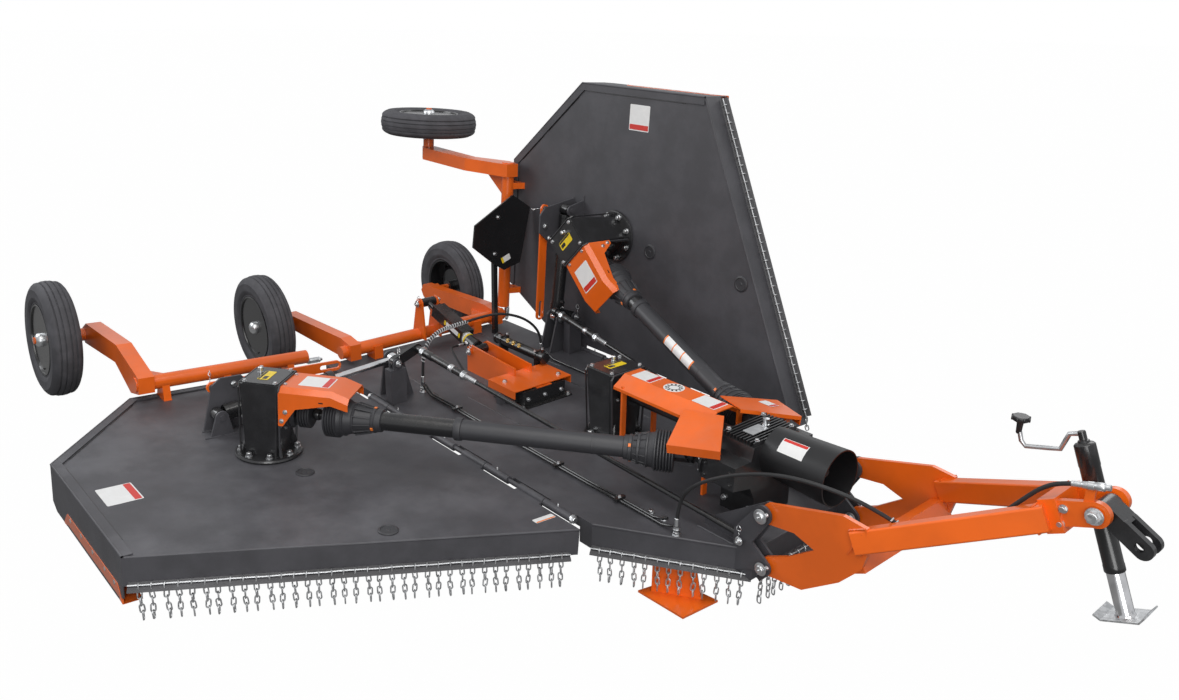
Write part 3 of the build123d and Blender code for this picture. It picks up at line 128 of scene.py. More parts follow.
class Shape:
    """Corners and faces of one piece, added to by its methods; each face keeps its material's number."""

    def __init__(self):
        self.corners, self.faces, self.paints = [], [], []

    def add(self, corners, faces, paint=0, place=None):
        base = len(self.corners)
        self.corners += [tuple(place @ Vector(c)) if place is not None else tuple(c) for c in corners]
        self.faces += [[base + i for i in face] for face in faces]
        self.paints += [paint] * len(faces)

    def prism(self, outline, low, high, paint=0, place=None):
        """Upright prism over an outline of x, y points that runs anticlockwise."""
        n = len(outline)
        corners = [(x, y, low) for x, y in outline] + [(x, y, high) for x, y in outline]
        faces = [list(range(n))[::-1], list(range(n, 2 * n))]
        faces += [[i, (i + 1) % n, (i + 1) % n + n, i + n] for i in range(n)]
        self.add(corners, faces, paint, place)

    def slab(self, size, place, paint=0, chamfer=0.0):
        """Block of a size about the place, its upright corners cut by the chamfer."""
        x, y, z = (v / 2 for v in size)
        c = min(chamfer, x * 0.9, y * 0.9)
        outline = [(-x, -y), (x, -y), (x, y), (-x, y)] if c <= 0 else [
            (-x + c, -y), (x - c, -y), (x, -y + c), (x, y - c), (x - c, y), (-x + c, y), (-x, y - c), (-x, -y + c)]
        self.prism(outline, -z, z, paint, place)

    def loft(self, rows, paint, place, inside_out):
        """Closed skin over rows of as many corners each, with flat ends."""
        n, corners = len(rows[0]), [corner for row in rows for corner in row]
        faces = [list(range(n)), list(range(len(corners) - n, len(corners)))[::-1]]
        for i in range(0, len(corners) - n, n):
            faces += [[i + j, i + n + j, i + n + (j + 1) % n, i + (j + 1) % n] for j in range(n)]
        self.add(corners, [face[::-1] for face in faces] if inside_out else faces, paint, place)

    def lathe(self, profile, place, steps=32, paint=0):
        """Profile of (radius, height) turned about the place's Z, open where it ends off the axis."""
        corners, faces = [], []
        for r, z in profile:
            corners += [(r * cos(tau * k / steps), r * sin(tau * k / steps), z) for k in range(steps)]
        for i in range(len(profile) - 1):
            for k in range(steps):
                a, b = i * steps + k, i * steps + (k + 1) % steps
                faces.append([a, b, b + steps, a + steps])
        if profile[0][0] > 1e-6:
            faces.append(list(range(steps))[::-1])
        if profile[-1][0] > 1e-6:
            faces.append([(len(profile) - 1) * steps + k for k in range(steps)])
        self.add(corners, faces, paint, place)

    def band(self, inner, outer, low, high, bevel, place, steps=36, paint=0):
        """Raised ring round the place's Z, its edges sloped over the bevel's height."""
        self.lathe([(inner, low), (outer, low + bevel), (outer, high - bevel), (inner, high)], place, steps, paint)

    def tube(self, points, radius, sides=8, closed=False, paint=0, place=None):
        """Round bar along points."""
        points = [Vector(p) for p in points]
        n = len(points)
        corners, faces = [], []
        across, angles = None, [tau * k / sides for k in range(sides)]
        for i, p in enumerate(points):
            before = points[i - 1] if i or closed else p
            after = points[(i + 1) % n] if i < n - 1 or closed else p
            way = (after - before).normalized()
            if across is None:
                across = way.orthogonal().normalized()
            across = (across - way * across.dot(way)).normalized()
            other = way.cross(across)
            corners += [p + (across * cos(a) + other * sin(a)) * radius for a in angles]
        for i in range(n if closed else n - 1):
            a, b = i * sides, (i + 1) % n * sides
            faces += [[a + k, a + (k + 1) % sides, b + (k + 1) % sides, b + k] for k in range(sides)]
        if not closed:
            faces += [list(range(sides))[::-1], [(n - 1) * sides + k for k in range(sides)]]
        self.add(corners, faces, paint, place)

    def hoop(self, radius, height, wire, count, paint, place):
        """Closed ring of wire about the place's Z."""
        self.tube([spot.translation for spot in circle(count, radius, height)], wire, 6, True, paint, place)

    def bolt(self, place, across=0.024, height=0.012, paint=0):
        """Hexagon head on its washer, standing along the place's Z."""
        r = across / 2 / cos(pi / 6)
        self.lathe([(r * 1.25, 0), (r * 1.25, height * 0.2), (r * 1.05, height * 0.22)], place, 12, paint)
        ring = [(r * cos(tau * k / 6), r * sin(tau * k / 6)) for k in range(6)]
        self.prism(ring, height * 0.2, height * 0.9, paint, place)
        self.lathe([(r * 0.8, height * 0.9), (r * 0.7, height), (0, height)], place, 12, paint)

    def bolts(self, places, across, height, paint=0):
        for place in places:
            self.bolt(place, across, height, paint)

    def piece(self, name, body, coats, replaced=None):
        """Mesh object of what was added, riding on a body, in place of a solid if one is named."""
        mesh = bpy.data.meshes.new(name)
        mesh.from_pydata(self.corners, [], self.faces)
        for coat in coats.split():
            mesh.materials.append(FINISHES[coat])
        mesh.polygons.foreach_set("material_index", self.paints)
        mesh.update()
        obj = bpy.data.objects.new(name, mesh)
        bpy.context.scene.collection.objects.link(obj)
        mesh.polygons.foreach_set("use_smooth", [True] * len(mesh.polygons))
        mesh.set_sharp_from_angle(angle=radians(35))
        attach(obj, body)
        if replaced:
            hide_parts(replaced)
        return obj


def clip(shape, place, size):
    """Spring clip with its ring through a pin, in the place's X and Z."""
    wire = 0.0017
    leg = [(0, 0, 0), (0, 0, size * 0.35), (0.004, 0, size * 0.5), (-0.002, 0, size * 0.62), (0.006, 0, size * 0.85)]
    shape.tube(leg, wire, 6, place=place)
    ring = [(size * 0.22 * sin(tau * k / 18), 0.003 * sin(tau * k / 9), size * (1.05 - 0.24 * cos(tau * k / 18)))
            for k in range(18)]
    shape.tube(ring, wire, 6, closed=True, place=place)


def pin_head(shape, place, r):
    """Flanged pin head standing along the place's Z, with its grease nipple."""
    shape.lathe([(r * 1.55, 0), (r * 1.6, 0.0015), (r * 1.6, 0.004), (r * 1.5, 0.005)], place, 28)
    shape.lathe([(r, 0.005), (r, 0.013), (r * 0.9, 0.015), (0, 0.015)], place, 28)
    shape.lathe([(0.004, 0.015), (0.004, 0.019), (0.003, 0.020), (0.003, 0.024), (0, 0.0245)], place, 10)


def pin_heads(shape, middle, reach, r):
    """Heads at both ends of a pin, a reach either way from its middle."""
    for way in (1, -1):
        pin_head(shape, facing(Vector(middle) + Vector(reach) * way, Vector(reach) * way), r)


# Materials

class Level:
    """Number on a shader socket; an expression of them adds its Math nodes."""

    def __init__(self, nodes, socket):
        self.nodes, self.socket = nodes, socket

    def maths(self, operation, *values):
        node = self.nodes.tree.nodes.new("ShaderNodeMath")
        node.operation = operation
        for socket, value in zip(node.inputs, values):
            self.nodes.feed(socket, value)
        return Level(self.nodes, node.outputs[0])

    def __add__(self, other):
        return self.maths("ADD", self, other)

    __radd__ = __add__

    def __sub__(self, other):
        return self.maths("SUBTRACT", self, other)

    def __rsub__(self, other):
        return self.maths("SUBTRACT", other, self)

    def __mul__(self, other):
        return self.maths("MULTIPLY", self, other)

    __rmul__ = __mul__


class Nodes:
    """Node tree of a material or the world, made new by its methods."""

    def __init__(self, owner):
        owner.use_nodes = True
        self.tree = owner.node_tree
        self.tree.nodes.clear()

    def feed(self, socket, value):
        if isinstance(value, Level):
            value = value.socket
        if isinstance(value, bpy.types.NodeSocket):
            self.tree.links.new(value, socket)
        elif hasattr(value, "__len__") and len(value) == 3 and len(socket.default_value) == 4:
            socket.default_value = (*value, 1)
        else:
            socket.default_value = value

    def node(self, kind, settings=None, **inputs):
        """Node of a kind, its settings first, then what its sockets take."""
        node = self.tree.nodes.new(kind)
        for key, value in (settings or {}).items():
            setattr(node, key, value)
        for key, value in inputs.items():
            self.feed(node.inputs[key.replace("_", " ")], value)
        return node

    def mix(self, factor, a, b):
        """Shader between two others."""
        node = self.node("ShaderNodeMixShader", Fac=factor)
        self.feed(node.inputs[1], a.outputs[0])
        self.feed(node.inputs[2], b.outputs[0])
        return node.outputs[0]

    def rays(self, **shares):
        """Sum of the named kinds of ray, each times its share."""
        path = self.node("ShaderNodeLightPath")
        return sum(Level(self, path.outputs["Is " + kind + " Ray"]) * share for kind, share in shares.items())


class Finish(Nodes):
    """Material being made: its Principled shader and the nodes that feed it."""

    def __init__(self, name, **constants):
        self.material = bpy.data.materials.new(name)
        super().__init__(self.material)
        self.shader = self.node("ShaderNodeBsdfPrincipled", **constants)
        self.output = self.node("ShaderNodeOutputMaterial", Surface=self.shader.outputs["BSDF"])
        self.place = self.node("ShaderNodeTexCoord").outputs["Object"]

    def noise(self, scale, detail=3.0, rough=0.5):
        node = self.node("ShaderNodeTexNoise", Vector=self.place, Scale=scale, Detail=detail, Roughness=rough)
        return Level(self, node.outputs["Fac"])

    def range(self, value, low, high):
        """Smooth step of a value from 0 at low to 1 at high."""
        node = self.node("ShaderNodeMapRange", {"interpolation_type": "SMOOTHSTEP"}, Value=value, From_Min=low,
                         From_Max=high)
        return Level(self, node.outputs["Result"])

    def blend(self, factor, a, b):
        node = self.node("ShaderNodeMix", {"data_type": "RGBA"})
        for index, value in ((0, factor), (6, a), (7, b)):
            self.feed(node.inputs[index], value)
        return node.outputs[2]

    def upward(self):
        """How far a face looks up, from 0 to 1."""
        normal = self.node("ShaderNodeNewGeometry").outputs["Normal"]
        return Level(self, self.node("ShaderNodeSeparateXYZ", Vector=normal).outputs["Z"])

    def bump(self, height, strength, distance):
        node = self.node("ShaderNodeBump", Height=height, Strength=strength, Distance=distance)
        self.feed(self.shader.inputs["Normal"], node.outputs["Normal"])

    def colour(self, value, rough):
        self.feed(self.shader.inputs["Base Color"], value)
        self.feed(self.shader.inputs["Roughness"], rough)
        return self.material


def shade(colour, factor):
    return tuple(min(1.0, c * factor) for c in colour)


def gloss_paint(name, colour, rough, dust=0.10, peel=0.25):
    """Sprayed enamel: slight flow in the coat, faint dust on what faces up."""
    f = Finish(name, Coat_Weight=0.35, Coat_Roughness=0.12, Specular_IOR_Level=0.5)
    base = f.blend(f.range(f.noise(3.5, 4), 0.35, 0.7), shade(colour, 0.9), shade(colour, 1.06))
    film = f.range(f.upward(), 0.2, 1.0) * f.range(f.noise(9, 5, 0.6), 0.35, 0.75) * dust
    base = f.blend(film, base, (0.32, 0.29, 0.26))
    f.bump(f.noise(260, 2), peel, 0.0006)
    return f.colour(base, rough + film * 0.5 + f.noise(24, 3) * 0.08)


def textured_paint(name, colour):
    """Charcoal deck coat: fine grain, cloudy sheen and a dusting of pale specks."""
    f = Finish(name, Coat_Weight=0.08, Coat_Roughness=0.3)
    grain = f.noise(620, 2)
    base = f.blend(f.range(f.noise(5, 5, 0.6), 0.35, 0.7), shade(colour, 0.84), shade(colour, 1.16))
    base = f.blend(f.range(grain, 0.62, 0.75) * 0.35, base, shade(colour, 2.4))
    film = f.range(f.upward(), 0.3, 1.0) * f.range(f.noise(2.2, 6, 0.62), 0.42, 0.72) * 0.18
    base = f.blend(film, base, (0.29, 0.29, 0.31))
    f.bump(grain, 0.35, 0.0012)
    return f.colour(base, 0.46 + f.noise(11, 4) * 0.14)


def black_casting(name, colour):
    """Gloss black over a sand casting's skin."""
    f = Finish(name, Coat_Weight=0.5, Coat_Roughness=0.1)
    skin = f.noise(150, 4, 0.6)
    base = f.blend(f.range(f.noise(14, 3), 0.4, 0.7), colour, shade(colour, 1.7))
    f.bump(skin, 0.5, 0.0018)
    return f.colour(base, 0.24 + skin * 0.14)


def bare_metal(name, colour, rough):
    """Plated metal with a cloudy shine."""
    f = Finish(name, Metallic=1.0)
    base = f.blend(f.range(f.noise(18, 5), 0.35, 0.7), shade(colour, 0.86), shade(colour, 1.06))
    return f.colour(base, rough + f.noise(34, 4) * 0.12)


def spangled(name, colour, rough, crystal):
    """Galvanised steel; crystal is the size of its spangles in metres."""
    f = Finish(name, Metallic=1.0)
    cells = f.node("ShaderNodeTexVoronoi", Vector=f.place, Scale=1 / crystal)
    flake = Level(f, f.node("ShaderNodeSeparateColor", Color=cells.outputs["Color"]).outputs[0])
    f.bump(f.noise(900, 1), 0.15, 0.0004)
    base = f.blend(flake, shade(colour, 0.78), shade(colour, 1.12))
    return f.colour(base, rough + f.noise(34, 4) * 0.12 + flake * 0.16)


def worn_steel(name, colour):
    """Hardened blade steel: blue-grey scale rubbed to bare metal in patches."""
    f = Finish(name, Metallic=0.85)
    rub = f.range(f.noise(26, 6, 0.65), 0.45, 0.62)
    f.bump(f.noise(120, 4), 0.25, 0.001)
    return f.colour(f.blend(rub, colour, shade(colour, 1.9)), 0.58 - rub * 0.22)


def rubber(name, colour, rough=0.74, grain=380.0):
    """Matte moulded rubber with a grey bloom."""
    f = Finish(name, Specular_IOR_Level=0.35)
    bloom = f.range(f.noise(12, 5, 0.6), 0.38, 0.72)
    f.bump(f.noise(grain, 3), 0.3, 0.0012)
    return f.colour(f.blend(bloom * 0.6, colour, shade(colour, 1.8)), rough + bloom * 0.1)


def moulded(name, colour, rough=0.42):
    """Moulded plastic with a fine leather grain."""
    f = Finish(name)
    f.bump(f.noise(700, 2), 0.18, 0.0006)
    return f.colour(f.blend(f.noise(8, 3), shade(colour, 0.88), shade(colour, 1.12)), rough + f.noise(20, 3) * 0.08)


def film(name, colour):
    """Printed vinyl film, plain, with a faint ripple."""
    f = Finish(name, Coat_Weight=0.2, Coat_Roughness=0.2)
    f.bump(f.noise(45, 2), 0.08, 0.0008)
    base = f.blend(f.range(f.noise(30, 4), 0.4, 0.7), shade(colour, 0.96), colour)
    return f.colour(base, 0.36 + f.noise(60, 2) * 0.05)


def paint_property(name, text, value):
    return FloatVectorProperty(name=name, description=text, default=value, subtype="COLOR", min=0, max=1)


def length_property(name, text, value):
    return FloatProperty(name=name, description=text, default=value, unit="LENGTH")


class CutterColours(bpy.types.PropertyGroup):
    """Paints of the machine."""
    orange: paint_property("Orange", "Enamel of the axles, tongue and shields", (0.83, 0.135, 0.008))
    charcoal: paint_property("Charcoal", "Textured coat of the decks", (0.058, 0.057, 0.064))
    black: paint_property("Black", "Gloss black of gearboxes, rims and cylinders", (0.012, 0.012, 0.013))
    tyre: paint_property("Tyre", "Tyre rubber", (0.066, 0.065, 0.071))


class CutterSizes(bpy.types.PropertyGroup):
    """Sizes of the repeated pieces."""
    link_wire: length_property("Link wire", "Thickness of a chain link's wire", 0.0065)
    link_width: length_property("Link width", "Width over a chain link", 0.024)
    links: IntProperty(name="Links", description="Links in a hanging chain", default=5, min=2)
    rib_depth: length_property("Tyre rib depth", "Depth of the grooves between the tyre's ribs", 0.007)
    bolt: length_property("Bolt", "Width across the flats of a common bolt", 0.024)


class CUTTER_OT_finishes(bpy.types.Operator):
    """Make the finishes and put one on every solid of the frame"""
    bl_idname = "cutter.finishes"
    bl_label = "Finishes"

    def execute(self, context):
        paints = context.scene.cutter_colours
        orange, charcoal, black, tyre = (tuple(c) for c in (paints.orange, paints.charcoal, paints.black, paints.tyre))
        FINISHES.update(
            orange_paint=gloss_paint("orange_enamel", orange, 0.26),
            charcoal_paint=textured_paint("charcoal_coat", charcoal),
            black_paint=gloss_paint("black_enamel", black, 0.22, 0.08),
            rim_paint=gloss_paint("rim_enamel", black, 0.2, 0.05),
            black_casting=black_casting("gearbox_casting", black),
            black_plastic=moulded("guard_plastic", (0.036, 0.036, 0.040)),
            shield_plastic=moulded("shield_plastic", (0.012, 0.012, 0.013), 0.3),
            galvanised=spangled("galvanised", (0.60, 0.61, 0.62), 0.34, 0.012),
            blade_steel=worn_steel("blade_steel", (0.20, 0.20, 0.21)),
            chrome_plate=bare_metal("chrome", (0.80, 0.80, 0.81), 0.08),
            hose_rubber=rubber("hose_rubber", (0.018, 0.018, 0.019), 0.5, 500),
            tyre=rubber("tyre_rubber", tyre),
            zinc=bare_metal("zinc", (0.66, 0.67, 0.68), 0.28),
            yellow_zinc=bare_metal("yellow_zinc", (0.72, 0.50, 0.20), 0.3),
            brass=bare_metal("brass", (0.72, 0.52, 0.22), 0.24),
            weld=gloss_paint("weld_enamel", shade(orange, 0.9), 0.34, 0.05, 0.6),
            black_weld=textured_paint("seam_coat", shade(charcoal, 0.6)),
            white_film=film("white_film", (0.80, 0.80, 0.79)),
            yellow_film=film("yellow_film", (0.86, 0.62, 0.02)),
            red_film=film("red_film", (0.62, 0.03, 0.02)),
            orange_film=film("orange_film", (0.85, 0.20, 0.02)),
            black_film=film("black_film", (0.015, 0.015, 0.016)),
            spiral=moulded("spiral_plastic", (0.50, 0.51, 0.52), 0.5),
            black_knob=moulded("knob_plastic", (0.014, 0.014, 0.015), 0.3),
        )
        slots = {sub["node"]: sub["material_slot"] for sub in frame["record"]["subparts"]}
        for name, node in frame["nodes"].items():
            node.data.materials.clear()
            node.data.materials.append(FINISHES["shield_plastic" if name == "input_shield" else slots[name]])
        return {"FINISHED"}


# Camera and hoses

class CUTTER_OT_camera(bpy.types.Operator):
    """Set the camera at the photograph's place"""
    bl_idname = "cutter.camera"
    bl_label = "Camera"

    def execute(self, context):
        data = bpy.data.cameras.new("camera")
        data.lens, data.sensor_width = 29.73, 36
        data.shift_x, data.shift_y = 0.0207, -0.0255
        data.clip_end = 100
        camera = bpy.data.objects.new("camera", data)
        context.scene.collection.objects.link(camera)
        right, up = (0.65162309, 0.75843046, 0.01306098), (-0.25224175, 0.20041647, 0.94668228)
        back = (0.71537504, -0.62017456, 0.32190382)
        camera.matrix_world = move(2.0426, -3.2334, 1.9069) @ Matrix((right, up, back)).transposed().to_4x4()
        context.scene.camera = camera
        return {"FINISHED"}


HOSES = [
    # node, diameter, real length, points (x, y, height above the deck)
    ("hose_tongue", 0.016, 1.883, [
        (-0.400, -0.470, 0.045), (-0.400, -0.470, 0.150), (-0.310, -0.490, 0.285), (-0.130, -0.472, 0.398),
        (0.037, -0.436, 0.458), (0.187, -0.402, 0.474), (0.336, -0.330, 0.443), (0.440, -0.238, 0.368),
        (0.560, -0.182, 0.305), (0.680, -0.146, 0.380), (0.765, -0.108, 0.478), (0.832, -0.094, 0.572),
        (0.890, -0.088, 0.645), (0.955, -0.084, 0.683), (1.005, -0.080, 0.694)]),
    ("hose_cross", 0.016, 1.236, [
        (-2.400, -0.455, 0.060), (-2.400, -0.455, 0.165), (-2.415, -0.420, 0.275), (-2.450, -0.310, 0.325),
        (-2.485, -0.167, 0.318), (-2.478, 0.0, 0.334), (-2.445, 0.130, 0.345), (-2.415, 0.270, 0.300),
        (-2.405, 0.370, 0.225), (-2.404, 0.424, 0.135), (-2.404, 0.424, 0.060)]),
    ("hose_lift", 0.012, 0.685, [
        (-2.560, -0.062, 0.155), (-2.560, -0.135, 0.155), (-2.495, -0.195, 0.178), (-2.400, -0.228, 0.160),
        (-2.305, -0.240, 0.108), (-2.200, -0.232, 0.062), (-2.095, -0.215, 0.040), (-2.000, -0.215, 0.040)]),
]
# share of a hose's length where its spiral sleeve starts and ends
SLEEVES = {"hose_cross": (0.10, 0.46), "hose_tongue": (0.60, 0.80)}


def route_curve(name, points, radius):
    """NURBS curve through a route's points."""
    data = bpy.data.curves.new(name, "CURVE")
    data.dimensions = "3D"
    spline = data.splines.new("NURBS")
    spline.points.add(len(points) - 1)
    for point, (x, y, h) in zip(spline.points, points):
        point.co = (x, y, DECK_Z + h, 1)
    spline.order_u, spline.use_endpoint_u, spline.resolution_u = 3, True, 12
    data.bevel_depth, data.bevel_resolution, data.use_fill_caps = radius, 4, True
    obj = bpy.data.objects.new(name, data)
    bpy.context.scene.collection.objects.link(obj)
    return obj


def centreline(points):
    """Points read from the route's NURBS spline."""
    bare = route_curve("reading", points, 0)
    bpy.context.view_layer.update()
    mesh = bpy.data.meshes.new_from_object(bare)
    line = [v.co.copy() for v in mesh.vertices]
    data = bare.data
    bpy.data.objects.remove(bare)
    bpy.data.curves.remove(data)
    bpy.data.meshes.remove(mesh)
    return line


def along(line, share):
    """Point and direction at a share of a line's length."""
    spans = [(b - a).length for a, b in zip(line, line[1:])]
    left = share * sum(spans)
    for a, b, span in zip(line, line[1:], spans):
        if left <= span:
            return a.lerp(b, left / span if span else 0), (b - a).normalized()
        left -= span
    return line[-1], (line[-1] - line[-2]).normalized()


class CUTTER_OT_hoses(bpy.types.Operator):
    """Lay the hydraulic hoses with their fittings and spiral sleeves"""
    bl_idname = "cutter.hoses"
    bl_label = "Hoses"

    def execute(self, context):
        for name, diameter, length, points in HOSES:
            r = diameter / 2
            hose = route_curve(name + "_rubber", points, r)
            hose.data.materials.append(FINISHES["hose_rubber"])
            line = centreline(points)
            ends = Shape()
            for end, way in ((line[0], line[1] - line[0]), (line[-1], line[-2] - line[-1])):
                crimps = [(1.28, -0.004), (1.32, 0.004), (1.2, 0.008), (1.34, 0.012), (1.2, 0.017), (1.34, 0.022),
                          (1.2, 0.027), (1.3, 0.034), (1.02, 0.037)]
                ends.lathe([(r * share, z) for share, z in crimps], facing(end, way), 20)
            if name == "hose_tongue":
                ends.lathe([(0.0095, -0.006), (0.0125, 0.000), (0.0125, 0.014), (0.0145, 0.016), (0.0145, 0.034),
                            (0.0125, 0.036), (0.0150, 0.040), (0.0150, 0.062), (0.0135, 0.066), (0.0110, 0.068),
                            (0.0110, 0.082), (0.0085, 0.084), (0, 0.084)], facing(line[-1], line[-1] - line[-2]), 24)
            pieces = [ends.piece(name + "_ferrules", "centre", "zinc")]
            if name in SLEEVES:
                start, end = SLEEVES[name]
                steps = int((end - start) * length / 0.018) * 10
                coil = []
                for i in range(steps + 1):
                    point, way = along(line, start + (end - start) * i / steps)
                    side = way.cross(Vector((0, 0, 1))).normalized()
                    a = tau * i / 10
                    coil.append(point + (side * cos(a) + side.cross(way) * sin(a)) * (r + 0.0022))
                sleeve = Shape()
                sleeve.tube(coil, 0.0034, 6)
                pieces.append(sleeve.piece(name + "_sleeve", "centre", "spiral"))
            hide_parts(name)
            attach(hose, "centre")
        return {"FINISHED"}


# Chain guards

def guard_row(shape, a, b, out, pitch, place, sizes, first=0.0, last=0.0, down=(0, 0, -1)):
    """Sloping ledge along an edge from a to b, the rod along it and the chains that hang down from the rod."""
    a, b, out = Vector(a), Vector(b), Vector(out).normalized()
    way = (b - a).normalized()
    start, end = a + way * first, b - way * last
    run, margin, chain = (end - start).length, 0.015, 0.155
    lip = [(-0.003, 0.020), (0.004, 0.013), (LEDGE - 0.008, 0.003), (LEDGE, -0.006), (LEDGE - 0.003, -0.008),
           (LEDGE - 0.011, 0.000), (0.002, 0.009), (-0.006, 0.016)]
    rows = [[(*(p + out * u), h - SKIRT) for u, h in lip] for p in (start, end)]
    shape.loft(rows, 0, place, way.cross(out) < 0)
    middle = out * LEDGE * 0.52
    rod_z = 0.0155 - SKIRT
    rod = [(*(start + way * (run * t / 24) + middle), rod_z + 0.0012 * sin(t * 2.1)) for t in range(25)]
    shape.tube(rod, 0.0036, 8, paint=1, place=place)
    count = int((run - 2 * margin) // pitch)
    width, wire = sizes.link_width, sizes.link_wire
    r, step = (width - wire) / 2, chain / sizes.links
    half = (step + 2 * wire - width) / 2
    oval = [(r * cos(t), half + r * sin(t)) for t in (pi * k / 6 for k in range(7))]
    oval += [(-x, -y) for x, y in oval]
    plumb, fall = Vector((0, 0, -1)), Vector(down).normalized()
    for i in range(count):
        foot = start + way * (margin + (i + 0.5) * (run - 2 * margin) / count) + middle
        sway = 0.05 * sin(i * 2.4 + a.x * 7)
        for k in range(sizes.links):
            angle = (pi / 2 if k % 2 == 0 else 0) + 0.22 * sin(i * 5.1 + k * 1.7)
            depth, hang = step * (k + 0.38), fall if k else plumb
            top = Vector((*(foot + way * sway * depth), rod_z)) + hang * depth
            across = (Vector((way.x, way.y, 0)) - hang * hang.dot((way.x, way.y, 0))).normalized()
            axes = Matrix((across, across.cross(hang), -hang)).transposed().to_4x4()
            lean = 0.10 * sin(i * 3.3 + k * 2.2)
            shape.tube([(x + y * lean, 0, y) for x, y in oval], wire / 2, 6, True, 1,
                       place @ Matrix.Translation(top) @ axes @ spin(angle, "Z"))


class CUTTER_OT_chains(bpy.types.Operator):
    """Hang the chain guards along the decks' front and rear edges"""
    bl_idname = "cutter.chains"
    bl_label = "Chain guards"

    def execute(self, context):
        sizes, coats = context.scene.cutter_sizes, "black_weld galvanised"
        front, rear = 0.048, 0.066           # pitch of the chains
        guard = Shape()
        for side in (-1, 1):
            guard_row(guard, (HINGE_X, side * DECK_HALF), (NOSE_X, side * NOSE_HALF), (0.5, side * 0.76), front, LEVEL,
                      sizes)
        guard_row(guard, (NOSE_X, -NOSE_HALF), (NOSE_X, NOSE_HALF), (1, 0), front, LEVEL, sizes)
        guard_row(guard, (REAR_X, -DECK_HALF), (REAR_X, DECK_HALF), (-1, 0), rear, LEVEL, sizes, 0.036, 0.036)
        guard.piece("centre_chain_guard", "centre", coats, "centre_chains")
        for name, side in SIDES.items():
            guard, place = Shape(), wing_frame(name)
            down = place.to_3x3().inverted() @ Vector((0, 0, -1))
            down = Vector((0, down.y, min(down.z, -0.42)))
            guard_row(guard, (HINGE_X, side * 0.036), (WING_FRONT_X, side * WING_SPAN), (0.9, side * 0.44), front,
                      place, sizes, 0.040, 0.020, down)
            guard_row(guard, (REAR_X, side * WING_INNER_S), (REAR_X, side * WING_CLIP_S), (-1, 0), rear, place, sizes,
                      0.020, 0.020, down)
            guard.piece("wing_" + name + "_chain_guard", "wing_" + name, coats, "wing_" + name + "_chains")
        return {"FINISHED"}


class CUTTER_OT_shoes(bpy.types.Operator):
    """Bolt the skid runners round the lower edges of the wings' outer sides"""
    bl_idname = "cutter.shoes"
    bl_label = "Skid runners"

    def execute(self, context):
        low = -0.2100                        # underside of a runner
        section = [(1.668, -0.136), (1.6765, -0.137), (1.6752, -0.170), (1.6733, -0.206), (1.6700, low), (1.596, low),
                   (1.596, -0.2010), (1.668, -0.2010)]
        stations = [(-2.302, 0.14), (-2.262, 0.80), (-2.244, 1.0), (-1.562, 1.0), (-1.545, 0.80), (-1.515, 0.14)]
        for name, side in SIDES.items():
            place, runner = wing_frame(name), Shape()
            rows = [[(x, side * s, low + (h - low) * share) for s, h in section] for x, share in stations]
            runner.loft(rows, 0, place, side > 0)
            for x in (-2.20, -2.04, -1.88, -1.72, -1.60):
                runner.lathe([(0.0105, -0.002), (0.0105, 0.0004), (0.0085, 0.0013), (0.004, 0.0017), (0, 0.0018)],
                             place @ facing((x, side * 1.6762, -0.152), (0, side, 0)), 20, 1)
            runner.piece("wing_" + name + "_runner", "wing_" + name, "orange_paint zinc", "wing_" + name + "_shoe")
        return {"FINISHED"}


class CUTTER_OT_wheels(bpy.types.Operator):
    """Fit the ribbed tyres, hub caps, wheel nuts and valves"""
    bl_idname = "cutter.wheels"
    bl_label = "Wheels"

    def execute(self, context):
        rib = context.scene.cutter_sizes.rib_depth
        half = [(0.204, 0.060), (0.207, 0.066), (0.214, 0.070), (0.222, 0.069), (0.226, 0.073), (0.246, 0.079),
                (0.250, 0.0805), (0.254, 0.080), (0.272, 0.082), (0.290, 0.0805), (0.294, 0.0815), (0.298, 0.079),
                (0.312, 0.073), (0.324, 0.064), (0.331, 0.055)]
        for groove in (0.042, 0.0155):
            r = 0.3395 - (groove / 0.11) ** 2 * 0.045
            half += [(r, groove + 0.0046), (r - rib * 0.3, groove + 0.0036), (r - rib, groove + 0.0024),
                     (r - rib, groove - 0.0024), (r - rib * 0.3, groove - 0.0036), (r, groove - 0.0046)]
        profile = half + [(0.340, 0)] + [(r, -y) for r, y in half[::-1]] + half[:1]
        for where, name in [(where, name) for where in ("centre", "wing") for name in SIDES]:
            axle = JOINTS["wheel_spin_" + where + "_" + name]
            out, outward = Vector(axle["axis"]), Vector((0, SIDES[name], 0))
            if where == "wing":
                outward = wing_frame(name).to_3x3() @ outward
            place = facing(axle["pos_m"], -out if outward.dot(out) < 0 else out, (1, 0, 0))
            body = "wheel_" + where + "_" + name
            tyre, hub = Shape(), Shape()
            tyre.lathe(profile, place, 96)
            tyre.piece(body + "_tyre", body, "tyre", "tyre_" + where + "_" + name)
            hub.lathe([(0.0405, 0.046), (0.0415, 0.052), (0.041, 0.072), (0.037, 0.086), (0.026, 0.095), (0.012, 0.099),
                       (0, 0.0995)], place)
            hub.lathe([(0.205, 0.062), (0.2085, 0.066), (0.209, 0.0715), (0.205, 0.0735), (0.199, 0.0715),
                       (0.197, 0.064)], place, 72, 2)
            for k, spot in enumerate(circle(6, 0.086, 0.014, 0.5)):
                hub.bolt(place @ spot @ spin(tau * (k + 0.5) / 6, "Z"), 0.026, 0.018, 1)
            hub.lathe([(0.008, 0), (0.0075, 0.012), (0.0045, 0.014), (0.0045, 0.032), (0.0055, 0.033), (0.0055, 0.042),
                       (0, 0.043)], place @ move(0.172, 0.02, 0.028), 12, 3)
            hub.piece(body + "_hub", body, "zinc yellow_zinc rim_paint black_knob")
        return {"FINISHED"}


